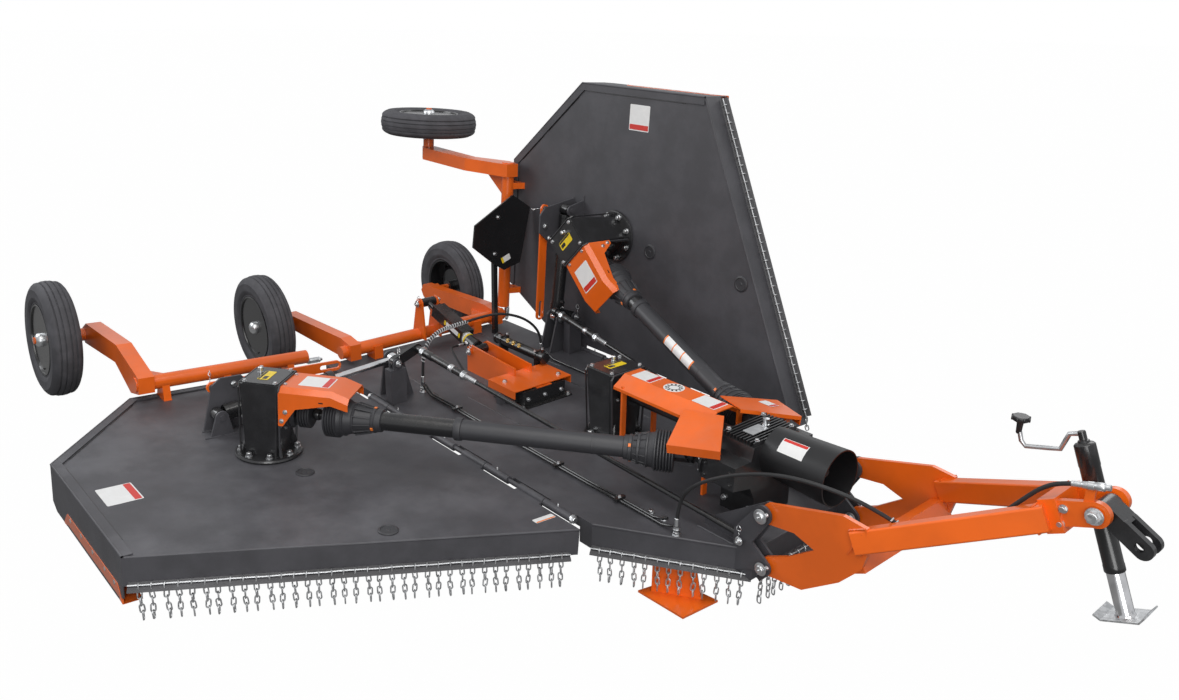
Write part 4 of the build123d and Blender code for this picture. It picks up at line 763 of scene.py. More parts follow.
# Gearboxes and drivelines

SPINDLE_X, SPINDLE_S = -2.120, 0.792         # spindle of a wing, in the wing's own x and y
JOINT_X, JOINT_S = -1.942, 0.625             # joint of its gearbox with the driveline, at the stub's height
BOX_TURN = atan2(SPINDLE_S - JOINT_S, JOINT_X - SPINDLE_X)
BOXES = [
    # name, body, place of the spindle at deck level with X along the output
    ("centre", "centre", LEVEL @ move(-1.286, 0, 0)),
] + [(name, "wing_" + name, wing_frame(name) @ move(SPINDLE_X, side * SPINDLE_S, 0) @ spin(-side * BOX_TURN, "Z"))
     for name, side in SIDES.items()]


def driveline(name):
    """Near and far joint of a wing's driveline."""
    return joint_at("drive_lift_" + name), wing_frame(name) @ Vector((JOINT_X, SIDES[name] * JOINT_S, STUB_H))


class CUTTER_OT_gearboxes(bpy.types.Operator):
    """Bolt down the gearboxes, with their covers, trims, plugs and splines"""
    bl_idname = "cutter.gearboxes"
    bl_label = "Gearboxes"

    def execute(self, context):
        size = context.scene.cutter_sizes.bolt
        for name, body, place in BOXES:
            box = Shape()
            box.bolts([place @ spot for spot in circle(8, 0.131, FLANGE, 0.5)], size, size * 0.9)
            box.hoop(0.150, FLANGE * 0.5, FLANGE * 0.42, 48, 1, place)
            box.slab((0.176, 0.222, 0.005), place @ move(0, 0, BOX_TOP + 0.0025), 1, 0.010)
            lid = [(-0.074, -0.098), (-0.074, 0.098), (0.074, -0.098), (0.074, 0.098)]
            box.bolts([place @ move(x, y, BOX_TOP + 0.005) for x, y in lid], 0.016, 0.010)
            box.lathe([(0.013, 0), (0.013, 0.006), (0.010, 0.007), (0.010, 0.014), (0.012, 0.015), (0.012, 0.026),
                       (0.009, 0.030), (0, 0.031)], place @ move(-0.05, 0.03, BOX_TOP + 0.005), 16)
            rim = [(-0.1032, 0.03), (-0.120, BOX_TOP - 0.02), (-0.104, BOX_TOP), (0.104, BOX_TOP),
                   (0.120, BOX_TOP - 0.02), (0.1032, 0.03)]
            for x, r, paint in ((0.096, 0.0055, 2), (-0.096, 0.0045, 1)):
                box.tube([(x, y, z) for y, z in rim], r, 8, paint=paint, place=place)
            back = place @ move(-0.094, 0, STUB_H) @ spin(-pi / 2, "Y")
            box.lathe([(0.072, -0.012), (0.072, 0.006), (0.068, 0.009), (0.040, 0.010), (0.036, 0.014), (0, 0.014)],
                      back, 36, 1)
            box.bolts([back @ spot for spot in circle(6, 0.057, 0.009)], 0.014, 0.009)
            front = place @ move(0, 0, 0.281 if name == "centre" else STUB_H) @ spin(pi / 2, "Y")
            if name != "centre":
                box.lathe([(0.0635, 0.100), (0.075, 0.104), (0.077, 0.112), (0.070, 0.118), (0.0625, 0.122),
                           (0.074, 0.126), (0.076, 0.134), (0.069, 0.140), (0.0625, 0.146)], front, 36, 2)
            box.bolts([front @ spot for spot in circle(8, 0.078, 0.094, 0.5)], 0.014, 0.009)
            box.piece("gearbox_" + name + "_fittings", body, "zinc black_casting black_plastic")
        top = Shape()
        lid = [(-0.437, 0.12), (-0.280, -0.12), (-0.280, 0.12), (-0.437, -0.12)]
        top.bolts([move(x, y, 0.080) for x, y in lid], 0.016, 0.010)
        top.slab((0.060, 0.110, 0.004), move(-0.352, -0.04, 0.083), 0, 0.004)
        top.lathe([(0.016, 0), (0.016, 0.010), (0.012, 0.012), (0.012, 0.024), (0.015, 0.026), (0.015, 0.038),
                   (0, 0.041)], move(-0.352, 0.03, 0.080), 16)
        for side in (-1, 1):
            for x in (-0.43, -0.29):
                top.bolts([facing((x, side * 0.274, z), (0, side, 0)) for z in (-0.03, -0.085)], 0.016, 0.010, 1)
                top.bolt(facing((x, side * 0.128, DECK_Z + 0.05), (0, side, 0)), 0.020, 0.014)
            flange = facing((-0.4505, side * 0.223, -0.056), (-1, 0, 0))
            top.lathe([(0.062, -0.002), (0.062, 0.010), (0.056, 0.013), (0.046, 0.014)], flange, 36, 1)
            top.bolts([flange @ spot for spot in circle(6, 0.052, 0.012, 0.5)], 0.012, 0.008)
        for k in range(6):
            spline = move(-0.04, 0, 0) @ spin(tau * k / 6, "X") @ move(0, 0, 0.0172)
            top.slab((0.078, 0.0065, 0.0012), spline, 2, 0.0015)
        top.band(0.0178, 0.0186, 0, 0.008, 0.002, facing((-0.088, 0, 0), (1, 0, 0)), 24, 2)
        top.piece("divider_fittings", "centre", "zinc black_casting blade_steel")
        return {"FINISHED"}


def bell(place, rim, pleats, tail, rib, tab):
    """Pleated bell of a driveline's guard with ribs and locking tabs.

    Pleats are their count, start, pitch, root, crest and taper; a rib is its size and height; a tab its first angle,
    radius and height.
    """
    shape, folds = Shape(), list(rim)
    count, start, pitch, root, crest, taper = pleats
    for k in range(count):
        z, r = start + k * pitch, crest - k * taper
        folds += [(root, z), (r, z + 0.004), (r, z + 0.0085)]
    shape.lathe(folds + tail, place, 48)
    for k in range(12):
        shape.slab(rib[0], place @ spin(tau * k / 12, "Z") @ move(0.0690, 0, rib[1]) @ spin(-0.22, "Y"), 0, 0.001)
    for k in range(3):
        spot = place @ spin(tau * k / 3 + tab[0], "Z") @ move(tab[1], 0, tab[2])
        shape.slab((0.006, 0.016, 0.012), spot, 1, 0.002)
    return shape


class CUTTER_OT_drivelines(bpy.types.Operator):
    """Fit the ribbed bells, collars, yokes and locking tabs of the guarded drivelines"""
    bl_idname = "cutter.drivelines"
    bl_label = "Drivelines"

    def execute(self, context):
        near_tail = [(0.083, 0.166), (0.081, 0.169), (0.079, 0.180), (0.077, 0.188), (0.082, 0.191), (0.082, 0.197),
                     (0.075, 0.201), (0.071, 0.214), (0.067, 0.226), (0.071, 0.229), (0.071, 0.239), (0.063, 0.242),
                     (0.0575, 0.262), (0.0615, 0.265), (0.0615, 0.278), (0.0565, 0.281), (0.0555, 0.300),
                     (0.0485, 0.303)]
        far_tail = [(0.089, 0.124), (0.086, 0.130), (0.084, 0.142), (0.088, 0.145), (0.088, 0.153), (0.082, 0.156),
                    (0.078, 0.172), (0.073, 0.190), (0.0755, 0.193), (0.0755, 0.201), (0.070, 0.204), (0.064, 0.236),
                    (0.058, 0.280), (0.060, 0.283), (0.060, 0.296), (0.055, 0.299), (0.053, 0.326), (0.0445, 0.329)]
        rings = [(0.052, -0.084), (0.056, -0.082)]
        for k in range(4):
            z = -0.080 + k * 0.0135
            rings += [(0.062, z), (0.070, z + 0.003), (0.070, z + 0.009), (0.062, z + 0.0105)]
        rings += [(0.058, -0.024), (0.050, -0.022)]
        for name in SIDES:
            near, far = driveline(name)
            place, back = facing(near, far - near), facing(far, near - far)
            guard = bell(place, [(0.082, 0.072), (0.092, 0.075), (0.093, 0.080)],
                         (6, 0.083, 0.0135, 0.084, 0.095, 0.0004), near_tail, ((0.009, 0.004, 0.066), 0.224),
                         (0.6, 0.0625, 0.272))
            guard.lathe([(0.0485, 1.058), (0.0535, 1.060), (0.0545, 1.066), (0.0545, 1.084), (0.0535, 1.090),
                         (0.0485, 1.0945)], place, 40)
            guard.band(0.0484, 0.0492, 0.44, 0.448, 0.002, place, 40)
            guard.piece("bell_near_" + name, "drive_tube_" + name, "black_plastic orange_film")
            guard = bell(back, [(0.090, 0.060), (0.100, 0.062), (0.100, 0.068)], (4, 0.072, 0.013, 0.091, 0.100, 0),
                         far_tail, ((0.008, 0.004, 0.080), 0.240), (1.4, 0.061, 0.290))
            guard.piece("bell_far_" + name, "drive_shaft_" + name, "black_plastic orange_film")
            collar, yoke = Shape(), Shape()
            collar.lathe(rings, back, 40)
            collar.piece("collar_far_" + name, "wing_" + name, "black_plastic")
            cross = Vector(JOINTS["drive_swing_" + name]["axis"]).normalized()
            for way in (1, -1):
                yoke.lathe([(0.0165, -0.002), (0.0165, 0.003), (0.0135, 0.005), (0.006, 0.005), (0.005, 0.007),
                            (0, 0.007)], facing(near + cross * way * 0.048, cross * way), 20)
            yoke.piece("yoke_caps_" + name, "drive_tube_" + name, "blade_steel")
        return {"FINISHED"}


class CUTTER_OT_hoods(bpy.types.Operator):
    """Fold the orange hoods over the wing gearboxes' output ends"""
    bl_idname = "cutter.hoods"
    bl_label = "Driveline hoods"

    def execute(self, context):
        sheet = 0.0045
        for name, body, place in BOXES[1:]:
            hood, corners, faces = Shape(), [], []
            for x, top, flap in ((0.096, 0.385, 0.112), (0.345, 0.385, 0.060), (0.428, 0.356, 0.052)):
                low = top - 0.005 - flap
                for inset in (0, sheet):
                    half, z = 0.1245 - inset, top - inset
                    corners += [(x, -half, low), (x, -half, z - 0.024), (x, 0.024 - half, z), (x, half - 0.024, z),
                                (x, half, z - 0.024), (x, half, low)]
            for i in (0, 12):
                for j in range(i, i + 5):
                    faces += [[j, j + 12, j + 13, j + 1], [j + 7, j + 19, j + 18, j + 6]]
                faces += [[i, i + 6, i + 18, i + 12], [i + 17, i + 23, i + 11, i + 5]]
            for j in range(5):
                faces += [[j, j + 1, j + 7, j + 6], [24 + j, 30 + j, 31 + j, 25 + j]]
            hood.add(corners, faces, 0, place)
            flap = [(0.0965, 0.272), (0.0965, 0.196), (0.118, 0.196), (0.150, 0.244), (0.180, 0.288)]
            for way in (1, -1):
                hood.prism(flap, -0.0022, 0.0022, 0, place @ move(0, way * 0.1222, 0) @ spin(pi / 2, "X"))
                hood.slab((0.016, 0.010, 0.090), place @ move(0.104, way * 0.118, 0.24), 0, 0.002)
                for x, z in ((0.112, 0.222), (0.130, 0.268)):
                    hood.bolt(place @ facing((x, way * 0.1244, z), (0, way, 0)), 0.016, 0.008, 1)
                hood.slab((0.022, 0.0008, 0.006), place @ move(0.300, way * 0.1247, 0.330), 2, 0.001)
            hood.bolts([place @ move(0.112, y, 0.385) for y in (-0.07, 0.07)], 0.014, 0.007, 1)
            hood.piece("hood_" + name, body, "orange_paint zinc black_paint", "wing_" + name + "_shield")
        return {"FINISHED"}


# Decks, hinges and tongue

class CUTTER_OT_decks(bpy.types.Operator):
    """Finish the decks: folded edges, seams, plugs, welds and hinge nuts"""
    bl_idname = "cutter.decks"
    bl_label = "Deck trim"

    def execute(self, context):
        coats = "charcoal_paint black_film black_plastic zinc weld"
        edge = [(HINGE_X - 0.005, 0.040), (WING_FRONT_X - 0.006, WING_SPAN - 0.006)]
        rim = [(WING_FRONT_X, WING_SPAN - 0.004), (WING_SIDE_X, WING_SPAN - 0.004), (REAR_X + 0.004, WING_CLIP_S),
               (REAR_X + 0.004, WING_INNER_S)]
        inner = [(WING_FRONT_X - 0.05, WING_SPAN - 0.0475), (WING_SIDE_X + 0.0225, WING_SPAN - 0.0475),
                 (REAR_X + 0.0475, WING_CLIP_S - 0.022), (REAR_X + 0.0475, WING_INNER_S + 0.05)]
        bolt_x, bolt_h = -3.070, 0.068       # turnbuckle between a wing and its axle
        for name, side in SIDES.items():
            place, trim = wing_frame(name), Shape()
            trim.tube([(x, side * s, -0.0035) for x, s in edge], 0.0065, 10, place=place)
            trim.tube([(x, side * s, 0.0045) for x, s in rim], 0.0058, 10, place=place)
            for i, first, last in ((0, 0.10, 0.95), (1, 0.08, 0.52), (1, 0.60, 0.93), (2, 0.12, 0.42)):
                seam = [Vector(inner[i]).lerp(inner[i + 1], share) for share in (first, last)]
                trim.tube([(x, side * s, 0.0002) for x, s in seam], 0.0036, 6, paint=1, place=place)
            for x, s in ((-1.818, 0.755), (-1.130, 0.721)):
                trim.lathe([(0.044, 0), (0.044, 0.004), (0.040, 0.007), (0.034, 0.008), (0.032, 0.005), (0.010, 0.0045),
                            (0.008, 0.006), (0, 0.006)], place @ move(x, side * s, 0), 36, 2)
            for x, s in ((-2.508, 0.70), (-2.508, 0.93), (-2.416, 0.85), (-2.416, 0.95)):
                bead = [(x, side * (s + 0.010 * k), 0.002 + 0.0008 * sin(k * 3)) for k in range(-4, 5)]
                trim.tube(bead, 0.004, 6, place=place)
            for x, h in ((bolt_x - 0.055, 0.0085), (bolt_x + 0.055, 0.002)):
                for s in (0.24, 0.62, 0.96):
                    bead = [(x, side * (s + 0.0044 * k), h) for k in range(-5, 6)]
                    trim.tube(bead, 0.004, 6, paint=4, place=place)
            trim.piece("wing_" + name + "_trim", "wing_" + name, coats)
            hinge, turnbuckle = Shape(), Shape()
            for x, way in ((-0.782, 1), (-2.518, -1)):
                nut = facing((x, side * HINGE_Y, DECK_Z), (way, 0, 0))
                hinge.lathe([(0.019, -0.004), (0.019, 0), (0.0, 0)], nut, 24)
                hinge.bolt(nut, 0.030, 0.020)
            for x in (-0.880, -1.330, -1.780, -2.230):
                hinge.lathe([(0.005, -0.002), (0.005, 0.004), (0.0035, 0.005), (0.0035, 0.009), (0.0045, 0.010),
                             (0.003, 0.014), (0, 0.014)], move(x, side * HINGE_Y, DECK_Z + 0.019), 10)
            hinge.piece("hinge_" + name + "_nuts", "centre", "zinc")
            turnbuckle.lathe([(0.008, -0.022), (0.010, -0.014), (0.010, 0.004), (0.017, 0.006), (0.0175, 0.060),
                              (0.017, 0.062), (0.010, 0.064), (0.010, 0.084)],
                             place @ facing((bolt_x, side * 0.045, bolt_h), (0, side, 0)), 20)
            for s in (0.040, 0.112):
                turnbuckle.bolt(place @ facing((bolt_x, side * s, bolt_h), (0, side, 0)))
            turnbuckle.piece("turnbuckle_" + name, "wing_" + name, "zinc")
        trim = Shape()
        edge = [(HINGE_X, -DECK_HALF + 0.004), (NOSE_X - 0.004, -NOSE_HALF), (NOSE_X - 0.004, NOSE_HALF),
                (HINGE_X, DECK_HALF - 0.004)]
        trim.tube([(x, y, DECK_Z - 0.0035) for x, y in edge], 0.0065, 10)
        for x, y, turn in ((-1.72, 0.30, 0.0), (-1.72, -0.30, 0.0), (-2.66, 0.40, 0.05), (-2.66, -0.40, -0.05)):
            seam = [(x + reach * cos(turn), y + reach * sin(turn), DECK_Z - 0.0008) for reach in (-0.45, 0.45)]
            trim.tube(seam, 0.003, 6, paint=1)
        for side in (-1, 1):
            trim.bolts([move(x, side * 0.42, DECK_Z) for x in (-0.52, -0.60)], 0.024, 0.014, 3)
        for side in (-1, 1):
            for y in (0.293, 0.343):
                bead = [(-0.389 + 0.03 * k, side * y, DECK_Z + 0.002 + 0.0008 * sin(k * 2.9)) for k in range(9)]
                trim.tube(bead, 0.0045, 6)
        trim.piece("centre_trim", "centre", coats)
        return {"FINISHED"}


class CUTTER_OT_tongue(bpy.types.Operator):
    """Finish the tongue: pins, welds, bolts, and the jack's tube, leg, crank, knob and stop pin"""
    bl_idname = "cutter.tongue"
    bl_label = "Tongue trim"

    def execute(self, context):
        trim = Shape()
        for side in (-1, 1):
            for x, z, r in ((-0.030, -0.331, 0.018), (-0.054, -0.098, 0.020)):
                pin_heads(trim, (x, side * 0.318, z), (0, 0.041, 0), r)
                trim.bolt(facing((x + 0.026, side * 0.3545, z + 0.016), (0, side, 0)), 0.014, 0.008)
            for x, z, run, rise in ((0.335, -0.095, 0.0050, 0.0110), (0.330, 0.006, 0.0065, 0.0034)):
                trim.tube([(x + run * k, side * 0.329, z + rise * k) for k in range(11)], 0.0045, 6, paint=1)
            for share in (0.04, 0.96):
                x, y, z = Vector((0.350, 0.318, -0.040)).lerp((0.925, 0.112, 0.248), share)
                for h in (0.046, -0.046):
                    bead = [(x - h * 0.45, side * (y - 0.028 + 0.006 * k), z + h * 0.9) for k in range(10)]
                    trim.tube(bead, 0.0045, 6, paint=1)
            nut = facing((1.062, side * 0.0955, 0.307), (0, side, 0))
            trim.lathe([(0.030, 0), (0.0305, 0.0015), (0.0305, 0.004), (0.030, 0.005)], nut)
            trim.bolt(nut @ move(0, 0, 0.005), 0.040, 0.020, 3)
            for z in (0.232, 0.288):
                trim.bolt(facing((0.962, side * 0.0875, z), (0, side, 0)), 0.022, 0.013)
        trim.piece("tongue_trim", "centre", "zinc weld black_knob galvanised")
        jack, leg, crank = Shape(), Shape(), Shape()
        top, foot = Vector((0.907, 0.134, 0.450)), Vector((1.152, 0.134, -0.127))
        axis = (foot - top).normalized()
        place = facing(top, axis)
        jack.lathe([(0, -0.036), (0.011, -0.036), (0.0135, -0.033), (0.0135, -0.004), (0.019, -0.002), (0.021, 0.005),
                    (0.031, 0.008), (0.0355, 0.013), (0.0355, 0.088), (0.0342, 0.091), (0.0342, 0.440), (0.0352, 0.442),
                    (0.0352, 0.464), (0.0338, 0.467), (0.0318, 0.467), (0.0318, 0.10)], place, 40)
        knob = move(0.686, 0.134, 0.449)
        jack.lathe([(0.0075, -0.052), (0.0100, -0.048), (0.0110, -0.020), (0.0130, -0.004), (0.0280, 0.000),
                    (0.0310, 0.003), (0.0320, 0.009), (0.0310, 0.015), (0.0270, 0.018), (0, 0.0185)], knob, 36, 1)
        for spot in circle(8, 0.0305):
            jack.lathe([(0.004, 0.002), (0.0045, 0.005), (0.0045, 0.013), (0.003, 0.016), (0, 0.0165)], knob @ spot, 10,
                       1)
        stop = facing(top + axis * 0.155 + Vector((0, -0.033, 0)), (0, -1, 0))
        jack.lathe([(0.010, -0.004), (0.010, 0.010), (0.007, 0.012), (0.007, 0.024), (0, 0.024)], stop, 16, 2)
        ring = [(0.016 * sin(tau * k / 20), 0.016 * cos(tau * k / 20) - 0.016, 0.020) for k in range(20)]
        jack.tube(ring, 0.002, 6, True, 2, stop)
        jack.band(0.0345, 0.0349, 0.196, 0.263, 0.001, place, 40, 3)
        jack.band(0.0349, 0.0352, 0.247, 0.263, 0.001, place, 40, 4)
        jack.piece("jack_tube", "centre", "black_paint black_knob zinc white_film red_film", "jack_body")
        leg.lathe([(0.0265, 0.240), (0.0300, 0.243), (0.0302, 0.614), (0.0330, 0.619), (0.0360, 0.6245)], place, 40)
        sole = Matrix((Vector((-axis.z, 0, axis.x)), (0, 1, 0), -axis)).transposed().to_4x4()
        leg.prism([(-0.086, 0.016), (-0.064, -0.003), (0.064, -0.003), (0.086, 0.016), (0.083, 0.021), (0.0615, 0.003),
                   (-0.0615, 0.003), (-0.083, 0.021)], -0.060, 0.060, 1, move(*foot) @ sole @ spin(pi / 2, "X"))
        leg.piece("jack_leg_plated", "jack_leg", "chrome_plate galvanised", "jack_leg")
        route = [(0.902, 0.476), (0.880, 0.467), (0.858, 0.458), (0.850, 0.432), (0.838, 0.392), (0.800, 0.381),
                 (0.718, 0.358), (0.700, 0.374), (0.690, 0.405)]
        crank.tube([(x, 0.134, z) for x, z in route], 0.0086, 12)
        crank.piece("jack_crank", "centre", "zinc")
        return {"FINISHED"}


class CUTTER_OT_cylinders(bpy.types.Operator):
    """Finish the cylinders, levelling rods, lock bars and oil lines: glands, bands, ports, nuts and clips"""
    bl_idname = "cutter.cylinders"
    bl_label = "Cylinders and rods"

    def execute(self, context):
        coats = "zinc black_paint yellow_film white_film brass orange_paint"
        lift, pipes, divider, sign = Shape(), Shape(), Shape(), Shape()
        a, b = Vector((-3.040, 0, DECK_Z + 0.292)), Vector((-2.480, 0, DECK_Z + 0.132))
        place, full = facing(a, b - a), (b - a).length
        for r, below, wide, paint in ((0.0422, 0.400, 0.018, 1), (0.0422, 0.045, 0.020, 1), (0.0392, 0.300, 0.012, 2),
                                      (0.0392, 0.120, 0.012, 2)):
            lift.band(0.0385, r, full - below, full - below + wide, 0.001, place, 36, paint)
        lift.band(0.0387, 0.0391, full - 0.288, full - 0.120, 0.001, place, 36, 3)
        for end in (a, b):
            pin_heads(lift, end, (0, 0.075, 0), 0.014)
            clip(lift, move(end.x, -0.082, end.z - 0.004) @ spin(0.5, "Y"), 0.055)
        lift.slab((0.215, 0.300, 0.090), move(-1.958, 0, DECK_Z + 0.0465), 1, 0.004)
        lift.slab((0.270, 0.370, 0.006), move(-1.958, 0, DECK_Z + 0.003), 1, 0.006)
        lift.bolts([move(x, y, DECK_Z + 0.006) for x in (-2.070, -1.845) for y in (-0.165, 0.165)], 0.022, 0.013)
        lift.bolts([facing((-1.8505, y, DECK_Z + 0.045), (1, 0, 0)) for y in (-0.12, 0.0, 0.12)], 0.018, 0.010)
        lift.bolts([move(x, y, DECK_Z + 0.105) for x, y in ((-2.02, -0.155), (-1.92, 0.155))], 0.020, 0.012)
        wall = place @ move(0, 0, full - 0.235)
        for way in (1, -1):
            plate = facing(wall @ Vector((way * 0.0438, 0.012, 0)), wall.to_3x3() @ Vector((way, 0, 0)), b - a)
            lift.slab((0.030, 0.130, 0.0008), plate, 3, 0.003)
            for y in (0.078, -0.078):
                lift.slab((0.030, 0.016, 0.0012), plate @ move(0, y, 0), 2, 0.003)
        lift.bolt(facing((-2.560, -0.045, DECK_Z + 0.155), (0, -1, 0)) @ move(0, 0, -0.008), 0.024, 0.016)
        lift.piece("lift_cylinder_trim", "centre", coats)
        first = -2.330                       # rear end of the oil lines
        for y, last in ((-0.470, -0.455), (-0.452, -0.520), (0.440, -1.700)):
            count = int((last - first) / 0.22)
            route = [(first - 0.055, y + 0.006, DECK_Z + 0.045), (first - 0.02, y + 0.002, DECK_Z + 0.030)]
            route += [(first + 0.03, y, PIPE_Z)]
            route += [(first + (last - first) * k / count, y + 0.003 * sin(k * 1.9), PIPE_Z) for k in range(1, count)]
            route += [(last - 0.03, y, PIPE_Z), (last + 0.02, y, DECK_Z + 0.026), (last + 0.05, y, DECK_Z + 0.042)]
            pipes.tube(route, 0.0062, 10, paint=1)
        for x in (-2.05, -1.62, -1.19, -0.76):
            pipes.slab((0.022, 0.062, 0.012), move(x, -0.461, DECK_Z + 0.0185), 1, 0.003)
            pipes.bolt(move(x, -0.461, DECK_Z + 0.0245), 0.012, 0.008)
        for x, y in ((-0.400, -0.470), (-2.400, -0.455), (-2.404, 0.424)):
            pipes.bolt(move(x, y, DECK_Z), 0.030, 0.016)
            pipes.bolt(move(x, y, DECK_Z + 0.026), 0.024, 0.016)
        pipes.piece("deck_pipes", "centre", coats)
        body = facing((-2.530, 0.180, DECK_Z + 0.150), (1, 0, 0))
        for z in (0.0, 0.055, 0.395, 0.452):
            divider.band(0.030, 0.0335, z - 0.004, z + 0.012, 0.002, body, 32, 1)
        for k in range(3):
            port = facing((-2.40 + 0.055 * k, 0.160, DECK_Z + 0.172), (0, -0.55, 0.83))
            divider.bolt(port @ move(0, 0, -0.003), 0.020, 0.014, 4)
        for x in (-2.47, -2.13):
            divider.slab((0.020, 0.070, 0.004), move(x, 0.180, DECK_Z + 0.182), 1, 0.003)
            divider.bolts([move(x, y, DECK_Z + 0.184) for y in (0.150, 0.210)], 0.013, 0.009)
        divider.piece("oil_divider_trim", "centre", coats)
        for name, side in SIDES.items():
            wing, rods, barrel, lock = wing_frame(name), Shape(), Shape(), Shape()
            high, front = Vector((-2.366, side * 0.514, DECK_Z + 0.292)), Vector((-0.150, side * 0.318, DECK_Z + 0.045))
            lug, pin = Vector((-2.470, side * 0.600, -0.086)), wing @ Vector((-2.470, side * 0.900, 0.095))
            rod, line = facing(high, front - high), facing(pin, lug - pin)
            rods.bolts([rod @ move(0, 0, z) for z in (0.060, 0.410)], 0.040, 0.022)
            thread = []
            for k in range(34):
                thread += [(0.0128, 0.434 + k * 0.0024), (0.0146, 0.4352 + k * 0.0024)]
            rods.lathe(thread + [(0.0125, 0.517)], rod, 20)
            for low, top, paint in ((0.090, 0.154, 1), (0.300, 0.334, 0)):
                rods.band(0.0205, 0.0225, low, top, 0.004, rod, 28, paint)
            pin_heads(rods, (-2.366, side * 0.652, DECK_Z + 0.241), (0.036, 0, 0), 0.012)
            clip(rods, move(-2.320, side * 0.652, DECK_Z + 0.250), 0.06)
            pin_heads(rods, front, (0, side * 0.041, 0), 0.012)
            clip(rods, move(-0.150, side * 0.366, DECK_Z + 0.055), 0.05)
            pin_heads(rods, lug, (0.052, 0, 0), 0.015)
            clip(rods, move(-2.408, side * 0.600, -0.076), 0.06)
            rods.piece("levelling_" + name + "_trim", "centre", coats)
            barrel.lathe([(0.040, 0.600), (0.0445, 0.602), (0.0445, 0.636), (0.040, 0.640)], line, 36, 1)
            barrel.band(0.040, 0.0425, 0.030, 0.052, 0.002, line, 36, 1)
            for z in (0.075, 0.585):
                barrel.lathe([(0.014, 0), (0.014, 0.012), (0.010, 0.014), (0.010, 0.022), (0, 0.022)],
                             line @ move(0.038, 0, z) @ spin(pi / 2, "Y"), 18, 1)
            barrel.piece("fold_barrel_" + name + "_trim", "fold_barrel_" + name, coats)
            pin_head(lock, wing @ facing((-2.546, side * 0.905, 0.222), (-1, 0, 0)), 0.011)
            pin_head(lock, wing @ facing((-2.512, side * 0.72, 0.190), (1, 0, 0)), 0.010)
            lock.bolts([wing @ facing((-2.510, side * 0.80, h), (1, 0, 0)) for h in (0.230, 0.060)], 0.024, 0.014)
            clip(lock, wing @ move(-2.556, side * 0.905, 0.226), 0.06)
            lock.piece("lock_bar_" + name + "_trim", "wing_" + name, coats)
        for y, z in ((0.455, 0.56), (0.485, 0.80)):
            sign.bolt(facing((-2.923, y, DECK_Z + z), (1, 0, 0)), 0.020, 0.012)
        tag = facing((-2.9232, 0.545, DECK_Z + 0.515), (1, 0, 0)) @ spin(0.35, "Z")
        sign.slab((0.074, 0.040, 0.0010), tag, 3, 0.003)
        sign.slab((0.018, 0.040, 0.0014), tag @ move(-0.028, 0, 0), 2, 0.003)
        upright = Matrix(((0, 0, 1, -2.9232), (1, 0, 0, 0), (0, 1, 0, DECK_Z), (0, 0, 0, 1)))
        sign.prism([(0.300, 0.775), (0.306, 0.769), (0.535, 0.440), (0.529, 0.436)], 0, 0.0012, 1, upright)
        sign.piece("sign_bracket_trim", "centre", coats)
        return {"FINISHED"}


# Labels

def label(shape, place, long, wide, base=0, band=2):
    """Blank label: its film, a coloured band along one edge and a block beside it."""
    shape.slab((long, wide, 0.0008), place @ move(0, 0, 0.0006), base, 0.004)
    shape.slab((long * 0.94, wide * 0.20, 0.0006), place @ move(0, wide * 0.36, 0.0012), band, 0.002)
    shape.slab((long * 0.34, wide * 0.42, 0.0005), place @ move(-long * 0.26, -wide * 0.10, 0.0011),
               4 if base == 1 else 0, 0.002)


def wrap(shape, edges, low, high, paint, place, order=1):
    """Film round the place's Z between two angles; the edges are the radius and height of its two sides."""
    corners = []
    for k in range(9):
        a = low + (high - low) * k / 8
        corners += [(r * cos(a), r * sin(a), h) for r, h in edges]
    shape.add(corners, [[2 * k, 2 * k + 2, 2 * k + 3, 2 * k + 1][::order] for k in range(8)], paint, place)


